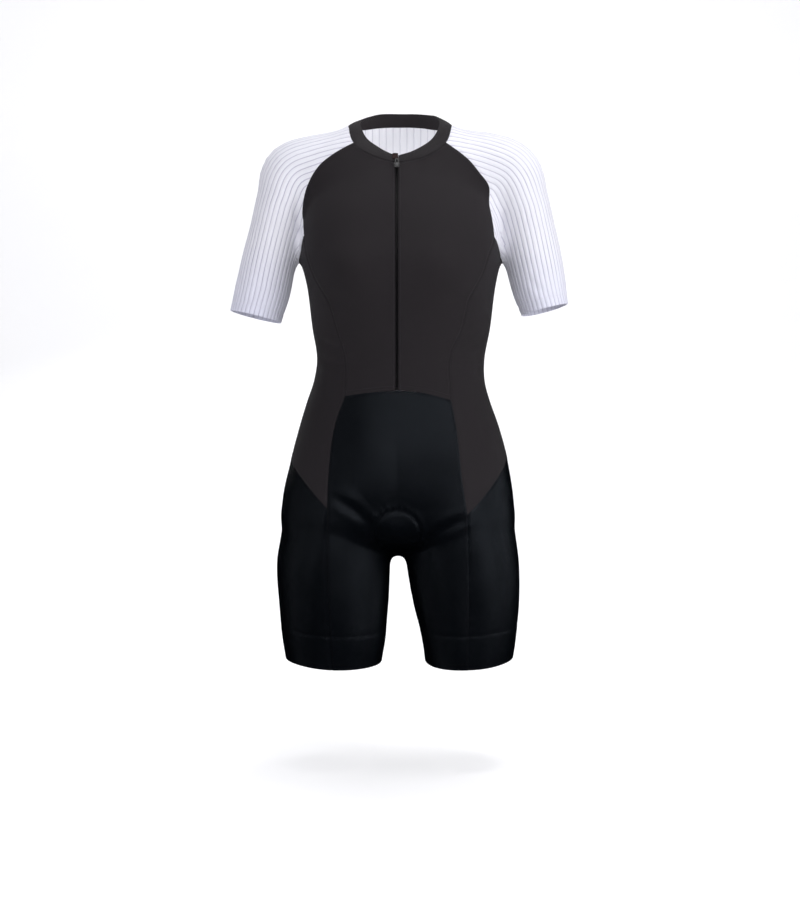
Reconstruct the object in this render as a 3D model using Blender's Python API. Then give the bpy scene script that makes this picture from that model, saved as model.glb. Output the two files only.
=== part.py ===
"""Women's short-sleeved triathlon suit, filled out as if worn: cut panels, collar and front zip.

Lengths below are millimetres, +Z up, the wearer faces -Y and their right is -X. The origin is midway
between the two shoulder points that carry the suit. One smooth hollow form gives the shape; seams are
curves drawn on it, and each panel is a grid of cloth seated on it between its own seams.
"""

import math

import bmesh
import bpy
import numpy as np

MM = 0.001

# ---- driving dimensions -------------------------------------------------------------------------
CLOTH = 1.5  # thickness of the cloth wall
SEAM_GAP = 0.3  # between neighbouring panels
SLANT = np.array([0.3, 0.5, 1.0])  # tells the two ends of any seam step apart
LEAST_MITRE = 0.6  # keeps a sharp corner from being drawn in too far
NECK_SOFTNESS = 40.0  # how softly the shoulders run into the chest
ARMPIT_SOFTNESS = 18.0
CROTCH_SOFTNESS = 22.0

# The trunk, level by level: where its middle is, half width, reach to the front and to the back, and
# how square it is.
# Columns: z, middle, half width, front, back, square.
TRUNK = (
    (40, 0, 48, 38, 48, 2.0),
    (6, 0, 62, 44, 60, 2.3),
    (-20, 0, 87, 51, 74, 2.2),
    (-50, 0, 115, 62, 86, 2.1),
    (-85, 0, 134, 78, 95, 2.2),
    (-120, 0, 144, 93, 99, 2.3),
    (-160, 1, 149, 106, 98, 2.35),
    (-200, 1, 147, 114, 92, 2.35),
    (-240, 2, 139, 113, 85, 2.35),
    (-300, 2, 132, 102, 75, 2.3),
    (-345, 1, 125, 93, 70, 2.2),
    (-375, -1, 127.5, 94, 77, 2.2),
    (-405, -2, 136, 97, 87, 2.2),
    (-450, -1, 151, 102, 103, 2.25),
    (-495, -1, 162, 104, 115, 2.3),
    (-555, -4, 169, 100, 121, 2.3),
    (-595, -4, 160, 88, 110, 2.3),
    (-615, -3, 130, 68, 84, 2.1),
    (-628, -3, 80, 36, 44, 2.0),
    (-634, -3, 10, 8, 8, 2.0),
)

# Each leg, level by level: distance of its middle from the centre line, half width and reaches.
# Columns: z, middle, half width, front, back.
LEG_RIGHT = (
    (-480, 80, 60, 70, 80),
    (-560, 90, 80, 90, 100),
    (-616, 97, 83, 91, 100),
    (-646, 100, 85, 90, 97),
    (-707, 100, 82.5, 86, 90),
    (-768, 99.6, 77, 81, 85),
    (-800, 100, 72, 78, 83),
    (-860, 100, 68, 76, 80),
)
LEG_LEFT = (
    (-480, 78, 60, 70, 80),
    (-560, 86, 80, 90, 100),
    (-616, 92, 83, 91, 100),
    (-646, 94, 84.5, 90, 97),
    (-707, 99.8, 80, 87, 92),
    (-768, 104, 70, 85, 89),
    (-800, 104, 65.5, 83, 88),
    (-860, 104, 62, 81, 86),
)

# Each arm, along its middle line from beside the neck to the cuff.
# Columns: x, y, z, half width, half depth.
ARM_RIGHT = (
    (40, 4, -56, 45, 46),
    (85, 6, -53.5, 46, 48),
    (125, 7, -61, 49, 50),
    (155, 8, -74, 51.5, 50),
    (172, 7, -110, 42.5, 49),
    (184, 5, -152, 39.5, 48),
    (196.5, 3, -204, 40.5, 47),
    (205, 0, -243, 41, 46),
    (215, -3, -281, 38.5, 45),
    (224, -6, -322, 37, 44),
)
ARM_LEFT = (
    (40, 4, -56, 45, 46),
    (85, 6, -51.5, 46, 48),
    (127, 7, -59, 51, 50),
    (158, 8, -74, 53.5, 50),
    (178, 7, -112, 44, 49),
    (189, 5, -152, 42, 48),
    (200, 3, -202, 42, 47),
    (208, 0, -240, 40, 46),
    (216, -3, -271, 35, 45),
    (226, -6, -312, 33, 44),
)
ARM_STEPS = 60  # straight steps that the arm's middle line is taken in

# Soft swellings of the cloth: where each is, how far it spreads and how far it stands out.
# Columns: x, z, facing, wide, tall, out.
SWELLINGS = (
    (-68, -226, -1, 46, 44, 9),  # cup of the right front
    (68, -226, -1, 46, 44, 9),  # cup of the left front
    (0, -602, -1, 30, 28, 7),  # seat pad behind the front of the shorts
    (-72, -545, 1, 55, 60, 8),  # right seat
    (72, -545, 1, 55, 60, 8),  # left seat
)

# The collar: where its top edge lies from the neck seam, at shares of the way from the zip to the nape.
# Inward is towards the middle of the neck from either side.
# Columns: share, inward, back, up.
COLLAR = (
    (0.0, 0, 10, 10.5),
    (0.09, 4.5, 11.4, 9),
    (0.19, 13, 14, 8.5),
    (0.27, 16.7, 14, 8.5),
    (0.35, 17.8, 12.5, 7.5),
    (0.42, 17, 12, 6.5),
    (0.50, 16.5, 10.4, 7.3),
    (0.57, 17, 7.8, 9.7),
    (0.66, 16.5, 0, 15.3),
    (0.76, 13.5, -5.5, 20.5),
    (0.88, 6.5, -8.6, 19.5),
    (1.0, 0, -10.2, 18.5),
)
COLLAR_CLOTH = 1.8  # a doubled band
COLLAR_CROWN = 1.6  # how far the band bows out half way up
COLLAR_ROWS = 3

# The zip. Heights are measured out from the cloth's outer face, so minus is into the suit.
CHAIN_HALF_WIDTH, CHAIN_FRONT, CHAIN_BACK = 1.8, 0.4, -1.75
TAPE_HALF_WIDTH, TAPE_FRONT, TAPE_BACK = 7.0, -2.4, -3.1
CHAIN_START, CHAIN_END = 1.2, -4.6  # below the collar's top edge, and above the waist
STOP_LENGTH, STOP_FRONT = 3.6, 0.9
# Slider and pull in the slider's own frame: across, down the zip and out from the cloth.
SLIDER_DOWN = 13.4  # from the collar's top edge to the slider's middle
SLIDER_BACK, SLIDER_FRONT = 0.8, 2.3
SLIDER_OUTLINE = ((-3.2, -2.4), (-1.8, -4.0), (1.8, -4.0), (3.2, -2.4), (2.6, 4.0), (-2.6, 4.0))
BRIDGE_HALF_WIDTH = 0.8
BRIDGE_OUTLINE = ((-3, 2), (-3, 3.8), (-2.2, 5), (2.2, 5), (3, 3.8), (3, 2), (1.3, 2), (1.3, 4.5),
                  (-1.3, 4.5), (-1.3, 2))
PIN_OUT = 3.4  # the pull turns about this height above the cloth, inside the bridge
# Columns: down, half width, opened; opened: the bridge passes through from this row on.
PULL = ((-0.6, 1.9, 0), (0.6, 2.1, 1), (3.6, 2.4, 0), (6.2, 3.3, 0), (9.2, 3.9, 0), (12.0, 3.7, 0),
        (13.8, 2.7, 0), (14.8, 1.2, 0))
PULL_EYE = 1.1  # half width of its eye
PULL_THICKNESS = 1.2
# The small cloth cap over the zip's top end, folded over the collar's edge.
GARAGE_X = (-11.1, -2.7)
GARAGE_OUTLINE = ((8.4, 1.1), (-1.8, 1.1), (-2.6, 0.3), (-2.6, -2.9), (-1.8, -3.6), (4.0, -3.6), (4.0, -4.4),
                  (-2.2, -4.4), (-3.4, -3.3), (-3.4, 0.7), (-2.2, 1.9), (8.4, 1.9))


# ---- smooth tables and curves ----------------------------------------------------------------------
def through(places, values, wanted):
    """Values at the wanted places on smooth curves through the table's rows; places increase."""
    steps = np.diff(places)
    slopes = np.diff(values, axis=0) / steps[:, None]
    tangents = np.vstack([slopes[:1], (slopes[:-1] + slopes[1:]) / 2, slopes[-1:]])
    row = np.clip(np.searchsorted(places, wanted) - 1, 0, len(steps) - 1)
    width = steps[row][:, None]
    s = np.clip((wanted - places[row])[:, None] / width, 0, 1)
    start, end = values[row], values[row + 1]
    rise, fall = tangents[row] * width, tangents[row + 1] * width
    bend = s * s * (3 - 2 * s)
    return start + (end - start) * bend + rise * s * (1 - s) ** 2 - fall * s * s * (1 - s)


def levels(table):
    """A z-by-z table as rising places and their values."""
    rows = np.array(sorted(table), float)
    return rows[:, 0], rows[:, 1:]


def length_along(points):
    return np.concatenate([[0.0], np.cumsum(np.linalg.norm(np.diff(points, axis=0), axis=1))])


# ---- the form --------------------------------------------------------------------------------------
def beyond_section(across, depth, half_width, front, back, square=2.0):
    """How far a point lies outside a rounded section, measured from the section's middle."""
    reach = np.where(depth < 0, front, back)
    radius = np.hypot(across, depth) + 1e-6
    share = (np.abs(across / half_width) ** square + np.abs(depth / reach) ** square) ** (1 / square)
    return radius - radius / np.maximum(share, 1e-6)


def beyond_trunk(p):
    places, values = levels(TRUNK)
    middle, half_width, front, back, square = through(places, values, p[:, 2]).T
    outside = beyond_section(p[:, 0] - middle, p[:, 1], half_width, front, back, square)
    below = np.maximum(places[0] - p[:, 2], 0)
    return np.where(below > 0, np.hypot(np.maximum(outside, 0), below), outside)


def beyond_leg(p, table, side):
    places, values = levels(table)
    middle, half_width, front, back = through(places, values, p[:, 2]).T
    outside = beyond_section(p[:, 0] - side * middle, p[:, 1], half_width, front, back)
    above = np.maximum(p[:, 2] - places[-1], 0)
    return np.where(above > 0, np.hypot(np.maximum(outside, 0), above), outside)


def arm_line(table, side):
    """Points along an arm's middle, with the direction, the outward and the depth direction of each."""
    rows = np.array(table, float)
    rows[:, 0] *= side
    run = length_along(rows[:, :3])
    fine = through(run, rows, np.linspace(0, run[-1], ARM_STEPS + 1))
    middle, sizes = fine[:, :3], fine[:, 3:]
    along = np.gradient(middle, axis=0)
    along /= np.linalg.norm(along, axis=1)[:, None]
    outward = np.cross(along, [0, 1, 0]) * side
    outward /= np.linalg.norm(outward, axis=1)[:, None]
    depth = np.cross(outward, along) * side
    return middle, along, outward, depth, sizes


ARMS = {-1: arm_line(ARM_RIGHT, -1), 1: arm_line(ARM_LEFT, 1)}


def arm_places(p, side):
    """Where points lie on an arm: step along it, out from its middle, and towards the back."""
    middle, along, outward, depth, sizes = ARMS[side]
    nearest = np.argmin(((p[:, None, :] - middle[None]) ** 2).sum(2), axis=1)
    pace = np.linalg.norm(np.diff(middle, axis=0), axis=1).mean()
    ahead = ((p - middle[nearest]) * along[nearest]).sum(1) / pace
    step = np.clip(nearest + np.clip(ahead, -1, 1), 0, ARM_STEPS)
    low = np.minimum(step.astype(int), ARM_STEPS - 1)
    share = (step - low)[:, None]
    frame = [a[low] + (a[low + 1] - a[low]) * share for a in (middle, outward, depth, sizes, along)]
    centre, out_way, back_way, size, forward = frame
    away = p - centre
    overshoot = (away * forward).sum(1)
    return step, (away * out_way).sum(1), (away * back_way).sum(1), size, overshoot


def beyond_arm(p, side):
    step, out, back, size, overshoot = arm_places(p, side)
    outside = beyond_section(out, back, size[:, 0], size[:, 1], size[:, 1])
    past_end = ((step <= 0) & (overshoot < 0)) | ((step >= ARM_STEPS) & (overshoot > 0))
    return np.where(past_end, np.hypot(np.maximum(outside, 0), overshoot), outside)


def soft_union(a, b, softness):
    """The nearer of two shapes, with the corner between them filled by a round of this softness."""
    blend = np.maximum(softness - np.abs(a - b), 0)
    return np.minimum(a, b) - blend**2 / (4 * softness)


def swelling(p):
    out = np.zeros(len(p))
    for x, z, facing, wide, tall, stands in SWELLINGS:
        spread = np.exp(-(((p[:, 0] - x) / wide) ** 2) - ((p[:, 2] - z) / tall) ** 2)
        out += stands * spread * np.clip(facing * p[:, 1] / 30, 0, 1)
    return out


def form(p):
    """Below zero inside the filled-out suit, zero on it, about the distance in millimetres outside."""
    legs = soft_union(beyond_leg(p, LEG_RIGHT, -1), beyond_leg(p, LEG_LEFT, 1), CROTCH_SOFTNESS)
    body = soft_union(beyond_trunk(p), legs, CROTCH_SOFTNESS)
    arms = np.minimum(beyond_arm(p, -1), beyond_arm(p, 1))
    high = np.clip((p[:, 2] + 150) / 90, 0, 1)
    softness = ARMPIT_SOFTNESS + (NECK_SOFTNESS - ARMPIT_SOFTNESS) * high * high * (3 - 2 * high)
    return soft_union(body, arms, softness) - swelling(p)


def uphill(p, step=0.4):
    """The form's gradient, which points out of the suit."""
    slope = np.empty_like(p)
    for axis in range(3):
        nudge = np.zeros(3)
        nudge[axis] = step
        slope[:, axis] = (form(p + nudge) - form(p - nudge)) / (2 * step)
    return slope


def seated(p, rounds=7):
    """Points moved straight in or out until they lie on the form."""
    p = np.array(p, float)
    for _ in range(rounds):
        slope = uphill(p)
        p -= np.clip(form(p), -12, 12)[:, None] * slope / (slope**2).sum(1)[:, None].clip(0.05)
    return p


def outward_ways(p):
    slope = uphill(p)
    return slope / np.linalg.norm(slope, axis=1)[:, None]


# ---- seams: named corners, and the points that each seam passes between two of them --------------------
# Corners of the cut, right side then left side.
ZIP_X = -4.5  # the suit fills out a little unevenly, so its zip stands just right of the middle
ZIP_HALF_SLOT = 2.1  # from the zip's middle to the edge of each front
CORNERS = {
    "neck_centre": ((ZIP_X - ZIP_HALF_SLOT, -65, -58), (ZIP_X + ZIP_HALF_SLOT, -65, -58)),
    "neck_raglan": ((-68, -48, -28), (67, -48, -28)),
    "nape_raglan": ((-63, 42, 4), (63, 42, 4)),
    "nape": ((-1, 61, 6), (-1, 61, 6)),
    "chest_armhole": ((-141, -41, -162), (135, -50, -165)),
    "armpit": ((-150, 0, -196), (149, 0, -194)),
    "back_armhole": ((-141, 47, -160), (139, 47, -160)),
    "waist_zip": ((ZIP_X - ZIP_HALF_SLOT, -95, -387), (ZIP_X + ZIP_HALF_SLOT, -95, -387)),
    "waist_centre": ((ZIP_X, -95, -388), (ZIP_X, -95, -388)),
    "waist_front": ((-80, -81, -396), (74, -83, -402)),
    "waist_back": ((-96, 68, -394), (94, 68, -396)),
    "waist_spine": ((-2, 84, -398), (-2, 84, -398)),
    "hip_front": ((-106, -92, -559), (98, -93, -568)),
    "hip_back": ((-131, 92, -478), (128, 92, -478)),
    "crotch": ((-3, 4, -639), (-3, 4, -639)),
    "hem_inner": ((-28, 0, -798), (39, 0, -798)),
    "hem_front": ((-100, -78, -799), (101, -83, -798)),
    "hem_back": ((-112, 81, -797), (112, 86, -797)),
}
# Each seam: the corners it joins, its steps, and the points it passes on the right and on the left.
# Columns: start, end, steps, right, left.
CROWDED = {"inseam": 1.7, "fly": -1.35, "spine": -1.35}  # closer steps at a seam's start, or (-) its end
SEAMS = {
    "neck_front": ("neck_centre", "neck_raglan", 7, ((-34, -62, -50), (-52, -57, -41)),
                   ((31, -63, -51), (51, -58, -41))),
    "neck_side": ("neck_raglan", "nape_raglan", 18, ((-73, -22, -9), (-74, 5, 0)),
                  ((73, -22, -9), (74, 5, 0))),
    "neck_back": ("nape_raglan", "nape", 8, ((-36, 57, 6),), ((35, 57, 6),)),
    "front_edge": ("neck_centre", "waist_zip", 21,
                   ((ZIP_X - ZIP_HALF_SLOT, -100, -150), (ZIP_X - ZIP_HALF_SLOT, -116, -229),
                    (ZIP_X - ZIP_HALF_SLOT, -104, -300)),
                   ((ZIP_X + ZIP_HALF_SLOT, -100, -150), (ZIP_X + ZIP_HALF_SLOT, -116, -229),
                    (ZIP_X + ZIP_HALF_SLOT, -104, -300))),
    "raglan_front": ("neck_raglan", "chest_armhole", 9,
                     ((-96, -48, -43), (-115, -47, -58), (-128, -46, -75), (-139, -40, -100),
                      (-142, -33, -132)),
                     ((98, -49, -51), (116, -48, -72), (130, -43, -92), (134, -48, -125))),
    "armhole_front": ("chest_armhole", "armpit", 4, ((-146, -20, -188),), ((143, -24, -188),)),
    "raglan_back": ("nape_raglan", "back_armhole", 9,
                    ((-94, 62, -22), (-118, 72, -54), (-134, 66, -92), (-143, 50, -130)),
                    ((94, 62, -22), (118, 72, -54), (133, 66, -92), (141, 50, -130))),
    "armhole_back": ("back_armhole", "armpit", 4, ((-147, 22, -188),), ((145, 22, -187),)),
    "princess": ("chest_armhole", "waist_front", 12,
                 ((-134, -57, -199), (-126, -65, -221), (-105, -82, -258), (-92, -79, -298),
                  (-82, -77, -334)),
                 ((127, -70, -195), (120, -78, -218), (101, -90, -254), (89, -83, -300), (74, -82, -334))),
    "side_back": ("back_armhole", "waist_back", 12,
                  ((-131, 66, -215), (-113, 68, -280), (-99, 62, -340)),
                  ((130, 66, -215), (112, 68, -280), (98, 62, -340))),
    "centre_back": ("nape", "waist_spine", 21, ((-1, 96, -100), (0, 92, -200), (0, 74, -310)),
                    ((-1, 96, -100), (0, 92, -200), (0, 74, -310))),
    "waist_front": ("waist_zip", "waist_front", 7, ((-38, -93, -390),), ((32, -93, -391),)),
    "waist_top": ("waist_centre", "waist_front", 7, ((-38, -93, -390),), ((32, -93, -391),)),
    "waist_back": ("waist_back", "waist_spine", 8, ((-52, 82, -397),), ((48, 82, -398),)),
    "shorts_front": ("waist_front", "hip_front", 6, ((-94, -82, -436), (-103, -87, -495)),
                     ((80, -87, -430), (90, -92, -517))),
    "leg_front": ("hip_front", "hem_front", 12, ((-107, -90, -622), (-105, -86, -708)),
                  ((99, -91, -605), (101, -86, -723))),
    "hip": ("hip_front", "hip_back", 8,
            ((-140, -68, -522), (-158, -35, -500), (-165, 8, -486), (-156, 58, -478)),
            ((113, -87, -553), (148, -55, -512), (163, 0, -484), (154, 58, -477))),
    "seat_side": ("waist_back", "hip_back", 6, ((-114, 86, -436),), ((112, 86, -436),)),
    "leg_back": ("hip_back", "hem_back", 12, ((-134, 97, -520), (-129, 100, -580), (-121, 95, -660)),
                 ((131, 97, -520), (127, 100, -580), (119, 95, -660))),
    "fly": ("waist_centre", "crotch", 11, ((ZIP_X, -102, -450), (ZIP_X, -104, -520), (ZIP_X, -98, -590),
                                           (ZIP_X, -55, -630)),
            ((ZIP_X, -102, -450), (ZIP_X, -104, -520), (ZIP_X, -98, -590), (ZIP_X, -55, -630))),
    "spine": ("waist_spine", "crotch", 11,
              ((-2, 108, -455), (-2, 120, -540), (-2, 100, -600), (-3, 50, -632)),
              ((-2, 108, -455), (-2, 120, -540), (-2, 100, -600), (-3, 50, -632))),
    "inseam": ("crotch", "hem_inner", 7, ((-11, 4, -643), (-15, 2, -658), (-19, 0, -705), (-22, 0, -755)),
               ((5, 4, -643), (10, 2, -658), (19, 0, -705), (32, 0, -755))),
    "hem_front": ("hem_inner", "hem_front", 7, ((-52, -60, -800),), ((58, -60, -800),)),
    "hem_side": ("hem_front", "hem_back", 8, ((-150, -56, -795), (-172, 0, -792), (-155, 56, -794)),
                 ((148, -60, -794), (169, 0, -791), (150, 62, -793))),
    "hem_seat": ("hem_back", "hem_inner", 8, ((-56, 64, -798),), ((62, 66, -798),)),
}
NECK = ("neck_front", "neck_side", "neck_back")
UNDERARM_STEPS = 8
BICEP_STEPS = 18  # same as the sleeve's neck edge
CUFF_ROW = 8  # row of the arm tables at which the sleeve ends
RIGHT, LEFT = -1, 1

# Middle lines that the panels lie around: the trunk's, and each half of the shorts' from hip to hem.
TRUNK_MIDDLE = ((-420, 0), (40, 0))
# Columns: z, x.
SHORTS_MIDDLE = ((-860, 100), (-700, 100), (-600, 97), (-520, 85), (-450, 60), (-390, 36), (-340, 20))


def crowded(steps, crowd):
    """Shares of a seam's length from 0 to 1: even for a crowd of 1, closer at one end otherwise."""
    even = np.linspace(0, 1, steps + 1)
    return even**crowd if crowd > 0 else 1 - (1 - even) ** -crowd


def seam_curves(points, stops, steps, crowd=1.0):
    """Stretches, from stop to stop, of the smooth curve through these points, seated on the form."""
    marks = seated(points)
    run = length_along(marks)
    curves = []
    for start, end, count in zip(stops, stops[1:], steps):
        fine = seated(through(run, marks, np.linspace(run[start], run[end], 8 * count + 1)), 3)
        fine_run = length_along(fine)
        places = fine_run[-1] * crowded(count, crowd)
        even = np.stack([np.interp(places, fine_run, fine[:, k]) for k in range(3)], axis=1)
        curves.append(seated(even, 3))
    return curves


def seams_of(side):
    """Every seam of one side; those of the neck are stretches of one curve."""
    column = 0 if side == RIGHT else 1
    seams = {}
    for names in (NECK, *([name] for name in SEAMS if name not in NECK)):
        points, stops = [CORNERS[SEAMS[names[0]][0]][column]], [0]
        for name in names:
            points += [*SEAMS[name][3 + column], CORNERS[SEAMS[name][1]][column]]
            stops.append(len(points) - 1)
        steps = [SEAMS[name][2] for name in names]
        curves = seam_curves(np.array(points, float), stops, steps, CROWDED.get(names[0], 1.0))
        seams.update(zip(names, curves))
    return seams


def joined(*runs):
    """Runs of points end to end, each starting where the last one stopped."""
    return np.vstack([runs[0]] + [run[1:] for run in runs[1:]])


# ---- laying a grid of cloth between four seams -----------------------------------------------------------
class UprightMiddle:
    """Angles and distances around a line that climbs the trunk or a leg."""

    def __init__(self, rows):
        self.z, self.x = np.array(rows, float).T

    def places(self, p):
        across = p[:, 0] - np.interp(p[:, 2], self.z, self.x)
        return p[:, 2], np.arctan2(p[:, 1], across), np.hypot(across, p[:, 1])

    def points(self, level, angle, radius):
        x = np.interp(level, self.z, self.x)
        return np.stack([x + radius * np.cos(angle), radius * np.sin(angle), level], axis=1)


class ArmMiddle:
    """Angles and distances around an arm, whose angle 0 looks up and outward."""

    def __init__(self, side):
        self.side = side

    def places(self, p):
        step, out, back, _, _ = arm_places(p, self.side)
        return step, np.arctan2(back, out), np.hypot(out, back)

    def points(self, step, angle, radius):
        middle, _, outward, depth, _ = ARMS[self.side]
        steps = np.arange(ARM_STEPS + 1)
        frame = [np.stack([np.interp(step, steps, a[:, k]) for k in range(3)], axis=1)
                 for a in (middle, outward, depth)]
        away = frame[1] * (radius * np.cos(angle))[:, None] + frame[2] * (radius * np.sin(angle))[:, None]
        return frame[0] + away


def cloth_grid(left, right, top, bottom, middle, relax=10):
    """A grid of points on the form between four seams: left and right run down, top and bottom across."""
    rows, columns = len(left), len(top)
    sides = {}
    path = np.vstack([left[::-1], top[1:-1], right])
    level, angle, radius = middle.places(path)
    around = np.stack([level, np.unwrap(angle), radius], axis=1)
    sides["left"] = around[:rows][::-1]
    sides["top"] = around[rows - 1:rows + columns - 1]
    sides["right"] = around[-rows:]
    level, angle, radius = middle.places(bottom)
    angle = np.unwrap(angle)
    angle += sides["left"][-1, 1] - angle[0]
    sides["bottom"] = np.stack([level, angle, radius], axis=1)
    down = np.linspace(0, 1, rows)[:, None, None]
    across = np.linspace(0, 1, columns)[None, :, None]
    ruled_across = (1 - across) * sides["left"][:, None] + across * sides["right"][:, None]
    ruled_down = (1 - down) * sides["top"][None] + down * sides["bottom"][None]
    corners = [sides["top"][0], sides["top"][-1], sides["bottom"][0], sides["bottom"][-1]]
    twisted = (1 - down) * ((1 - across) * corners[0] + across * corners[1])
    twisted = twisted + down * ((1 - across) * corners[2] + across * corners[3])
    blend = (ruled_across + ruled_down - twisted).reshape(-1, 3)
    grid = seated(middle.points(*blend.T)).reshape(rows, columns, 3)
    grid[:, 0], grid[:, -1], grid[0], grid[-1] = left, right, top, bottom
    for _ in range(relax):
        inner = (grid[:-2, 1:-1] + grid[2:, 1:-1] + grid[1:-1, :-2] + grid[1:-1, 2:]) / 4
        grid[1:-1, 1:-1] = seated(inner.reshape(-1, 3), 2).reshape(inner.shape)
    return grid


# ---- solids ------------------------------------------------------------------------------------------
def welded(grids):
    """The points and quads of some grids, with the points that they share made one."""
    points, quads, count = [], [], 0
    for grid in grids:
        rows, columns = grid.shape[:2]
        index = count + np.arange(rows * columns).reshape(rows, columns)
        corners = [index[:-1, :-1], index[1:, :-1], index[1:, 1:], index[:-1, 1:]]
        quads.append(np.stack(corners, -1).reshape(-1, 4))
        points.append(grid.reshape(-1, 3))
        count += rows * columns
    points, quads = np.vstack(points), np.vstack(quads)
    _, first, same = np.unique(np.round(points / 0.02), axis=0, return_index=True, return_inverse=True)
    return points[first], same.reshape(-1)[quads]


def edge_of(quads):
    """Each directed border edge of the quads, with the quad it belongs to."""
    border = {}
    for number, quad in enumerate(quads):
        for a, b in zip(quad, np.roll(quad, -1)):
            if (b, a) in border:
                del border[(b, a)]
            else:
                border[(a, b)] = number
    return border


def drawn_in(points, quads, ways, distance):
    """The points with those on the border moved into the cloth, square to the border and along the form."""
    inward = {}
    for (a, b), number in edge_of(quads).items():
        along = (points[b] - points[a]) / np.linalg.norm(points[b] - points[a])
        towards = points[quads[number]].mean(0) - (points[a] + points[b]) / 2
        for corner in (a, b):
            flat = towards - (towards @ along) * along
            flat -= (flat @ ways[corner]) * ways[corner]
            inward.setdefault(corner, []).append(flat / np.linalg.norm(flat))
    moved = points.copy()
    for corner, (first, second) in inward.items():
        moved[corner] += distance * (first + second) / max(1 + first @ second, LEAST_MITRE)
    return moved


def material(name, colour, roughness, metallic=0.0):
    made = bpy.data.materials.get(name) or bpy.data.materials.new(name)
    made.use_nodes = True
    shader = made.node_tree.nodes["Principled BSDF"]
    shader.inputs["Base Color"].default_value = (*colour, 1.0)
    shader.inputs["Roughness"].default_value = roughness
    shader.inputs["Metallic"].default_value = metallic
    return made


def mesh_object(name, points, faces, finish):
    """A mesh object from points in millimetres."""
    mesh = bpy.data.meshes.new(name)
    mesh.from_pydata([tuple(p) for p in np.asarray(points) * MM], [], [tuple(map(int, f)) for f in faces])
    mesh.materials.append(finish)
    mesh.validate()
    made = bpy.data.objects.new(name, mesh)
    bpy.context.scene.collection.objects.link(made)
    return made


def halves(points, quads):
    """The triangles of the quads, each cut across its shorter way."""
    corner = points[quads]
    first = np.linalg.norm(corner[:, 2] - corner[:, 0], axis=1)
    second = np.linalg.norm(corner[:, 3] - corner[:, 1], axis=1)
    turned = np.where((first > second)[:, None], np.roll(quads, -1, axis=1), quads)
    return np.vstack([turned[:, [0, 1, 2]], turned[:, [0, 2, 3]]])


def thickened(name, outer, inner, quads, finish):
    """A closed wall between an outer and an inner layer of the same quads."""
    count = len(outer)
    triangles = halves(outer, quads)
    faces = [*triangles, *(count + triangles[:, ::-1])]
    for a, b in edge_of(quads):
        # Both walls of a seam cut its edge the same way, so that their faces stay side by side.
        if outer[a] @ SLANT < outer[b] @ SLANT:
            faces += [(b, a, count + b), (a, count + a, count + b)]
        else:
            faces += [(b, a, count + a), (b, count + a, count + b)]
    made = mesh_object(name, np.vstack([outer, inner]), faces, finish)
    made.data.shade_smooth()
    made.data.set_sharp_from_angle(angle=math.radians(40))
    return made


def faced_out(grid):
    """The grid, turned left for right if its quads would face into the suit."""
    centre = grid[len(grid) // 2, grid.shape[1] // 2]
    down = grid[len(grid) // 2 + 1, grid.shape[1] // 2] - centre
    across = grid[len(grid) // 2, grid.shape[1] // 2 + 1] - centre
    return grid if np.cross(down, across) @ outward_ways(centre[None])[0] > 0 else grid[:, ::-1]


def panel(name, grids, finish, thickness=CLOTH):
    points, quads = welded([faced_out(grid) for grid in grids])
    points = drawn_in(points, quads, outward_ways(points), SEAM_GAP / 2)
    return thickened(name, points, points - thickness * outward_ways(points), quads, finish)


# ---- panels ------------------------------------------------------------------------------------------
def cuff_step(table):
    """The step of the arm's middle line at which its sleeve ends."""
    run = length_along(np.array(table, float)[:, :3])
    return ARM_STEPS * run[CUFF_ROW] / run[-1]


def sleeve_grids(side, seams):
    """The sleeve in two grids: from the neck to a line round the arm, and the tube from there down."""
    middle = ArmMiddle(side)
    end = cuff_step(ARM_RIGHT if side == RIGHT else ARM_LEFT)
    front, back = seams["armhole_front"], seams["armhole_back"]
    step, angle, radius = middle.places(np.stack([front[0], back[0]]))
    share = np.linspace(0, 1, BICEP_STEPS + 1)
    level, turn, size = ((1 - share) * pair[0] + share * pair[1] for pair in (step, angle, radius))
    bicep = seated(middle.points(level, turn, size))
    bicep[0], bicep[-1] = front[0], back[0]
    upper = cloth_grid(seams["raglan_front"], seams["raglan_back"], seams["neck_side"], bicep, middle)
    start = middle.places(front[-1:])[0][0]
    fall = np.linspace(start, end, UNDERARM_STEPS + 1)
    underarm = seated(middle.points(fall, np.full(len(fall), math.pi), np.full(len(fall), 40.0)))
    underarm[0] = front[-1]
    mouth = joined(front[::-1], bicep, back)
    turns = np.linspace(-math.pi, math.pi, len(mouth))
    cuff = seated(middle.points(np.full(len(mouth), end), turns, np.full(len(mouth), 42.0)))
    cuff[0] = cuff[-1] = underarm[-1]
    return [upper, cloth_grid(underarm, underarm, mouth, cuff, middle)]


def shorts_middle(side):
    return UprightMiddle([(z, side * x) for z, x in SHORTS_MIDDLE])


def collar_grid(seams):
    """The collar's outer face, a column for each step round the neck, from its top edge to the seam."""
    halves_of_ring = [joined(s["neck_front"], s["neck_side"], s["neck_back"]) for s in seams.values()]
    ring = joined(halves_of_ring[0], halves_of_ring[1][::-1])
    run = length_along(ring)
    share = 1 - np.abs(1 - 2 * run / run[-1])
    table = np.array(COLLAR)
    rise = through(table[:, 0], table[:, 1:], share)
    rise[:, 0] *= np.where(run < run[-1] / 2, 1, -1)
    up = np.linspace(SEAM_GAP / 2 / np.linalg.norm(rise, axis=1), np.ones(len(ring)), COLLAR_ROWS + 1)
    way = np.cross(rise, np.gradient(ring, axis=0))
    way /= np.linalg.norm(way, axis=1)[:, None]
    crown = COLLAR_CROWN * 4 * up * (1 - up) * np.minimum(share / 0.1, 1)
    grid = ring + rise * up[..., None] + way * crown[..., None]
    ways = np.repeat(way[None], COLLAR_ROWS + 1, axis=0)
    ways[0] = outward_ways(ring)
    return grid[::-1, ::-1], ways[::-1, ::-1]


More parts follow.
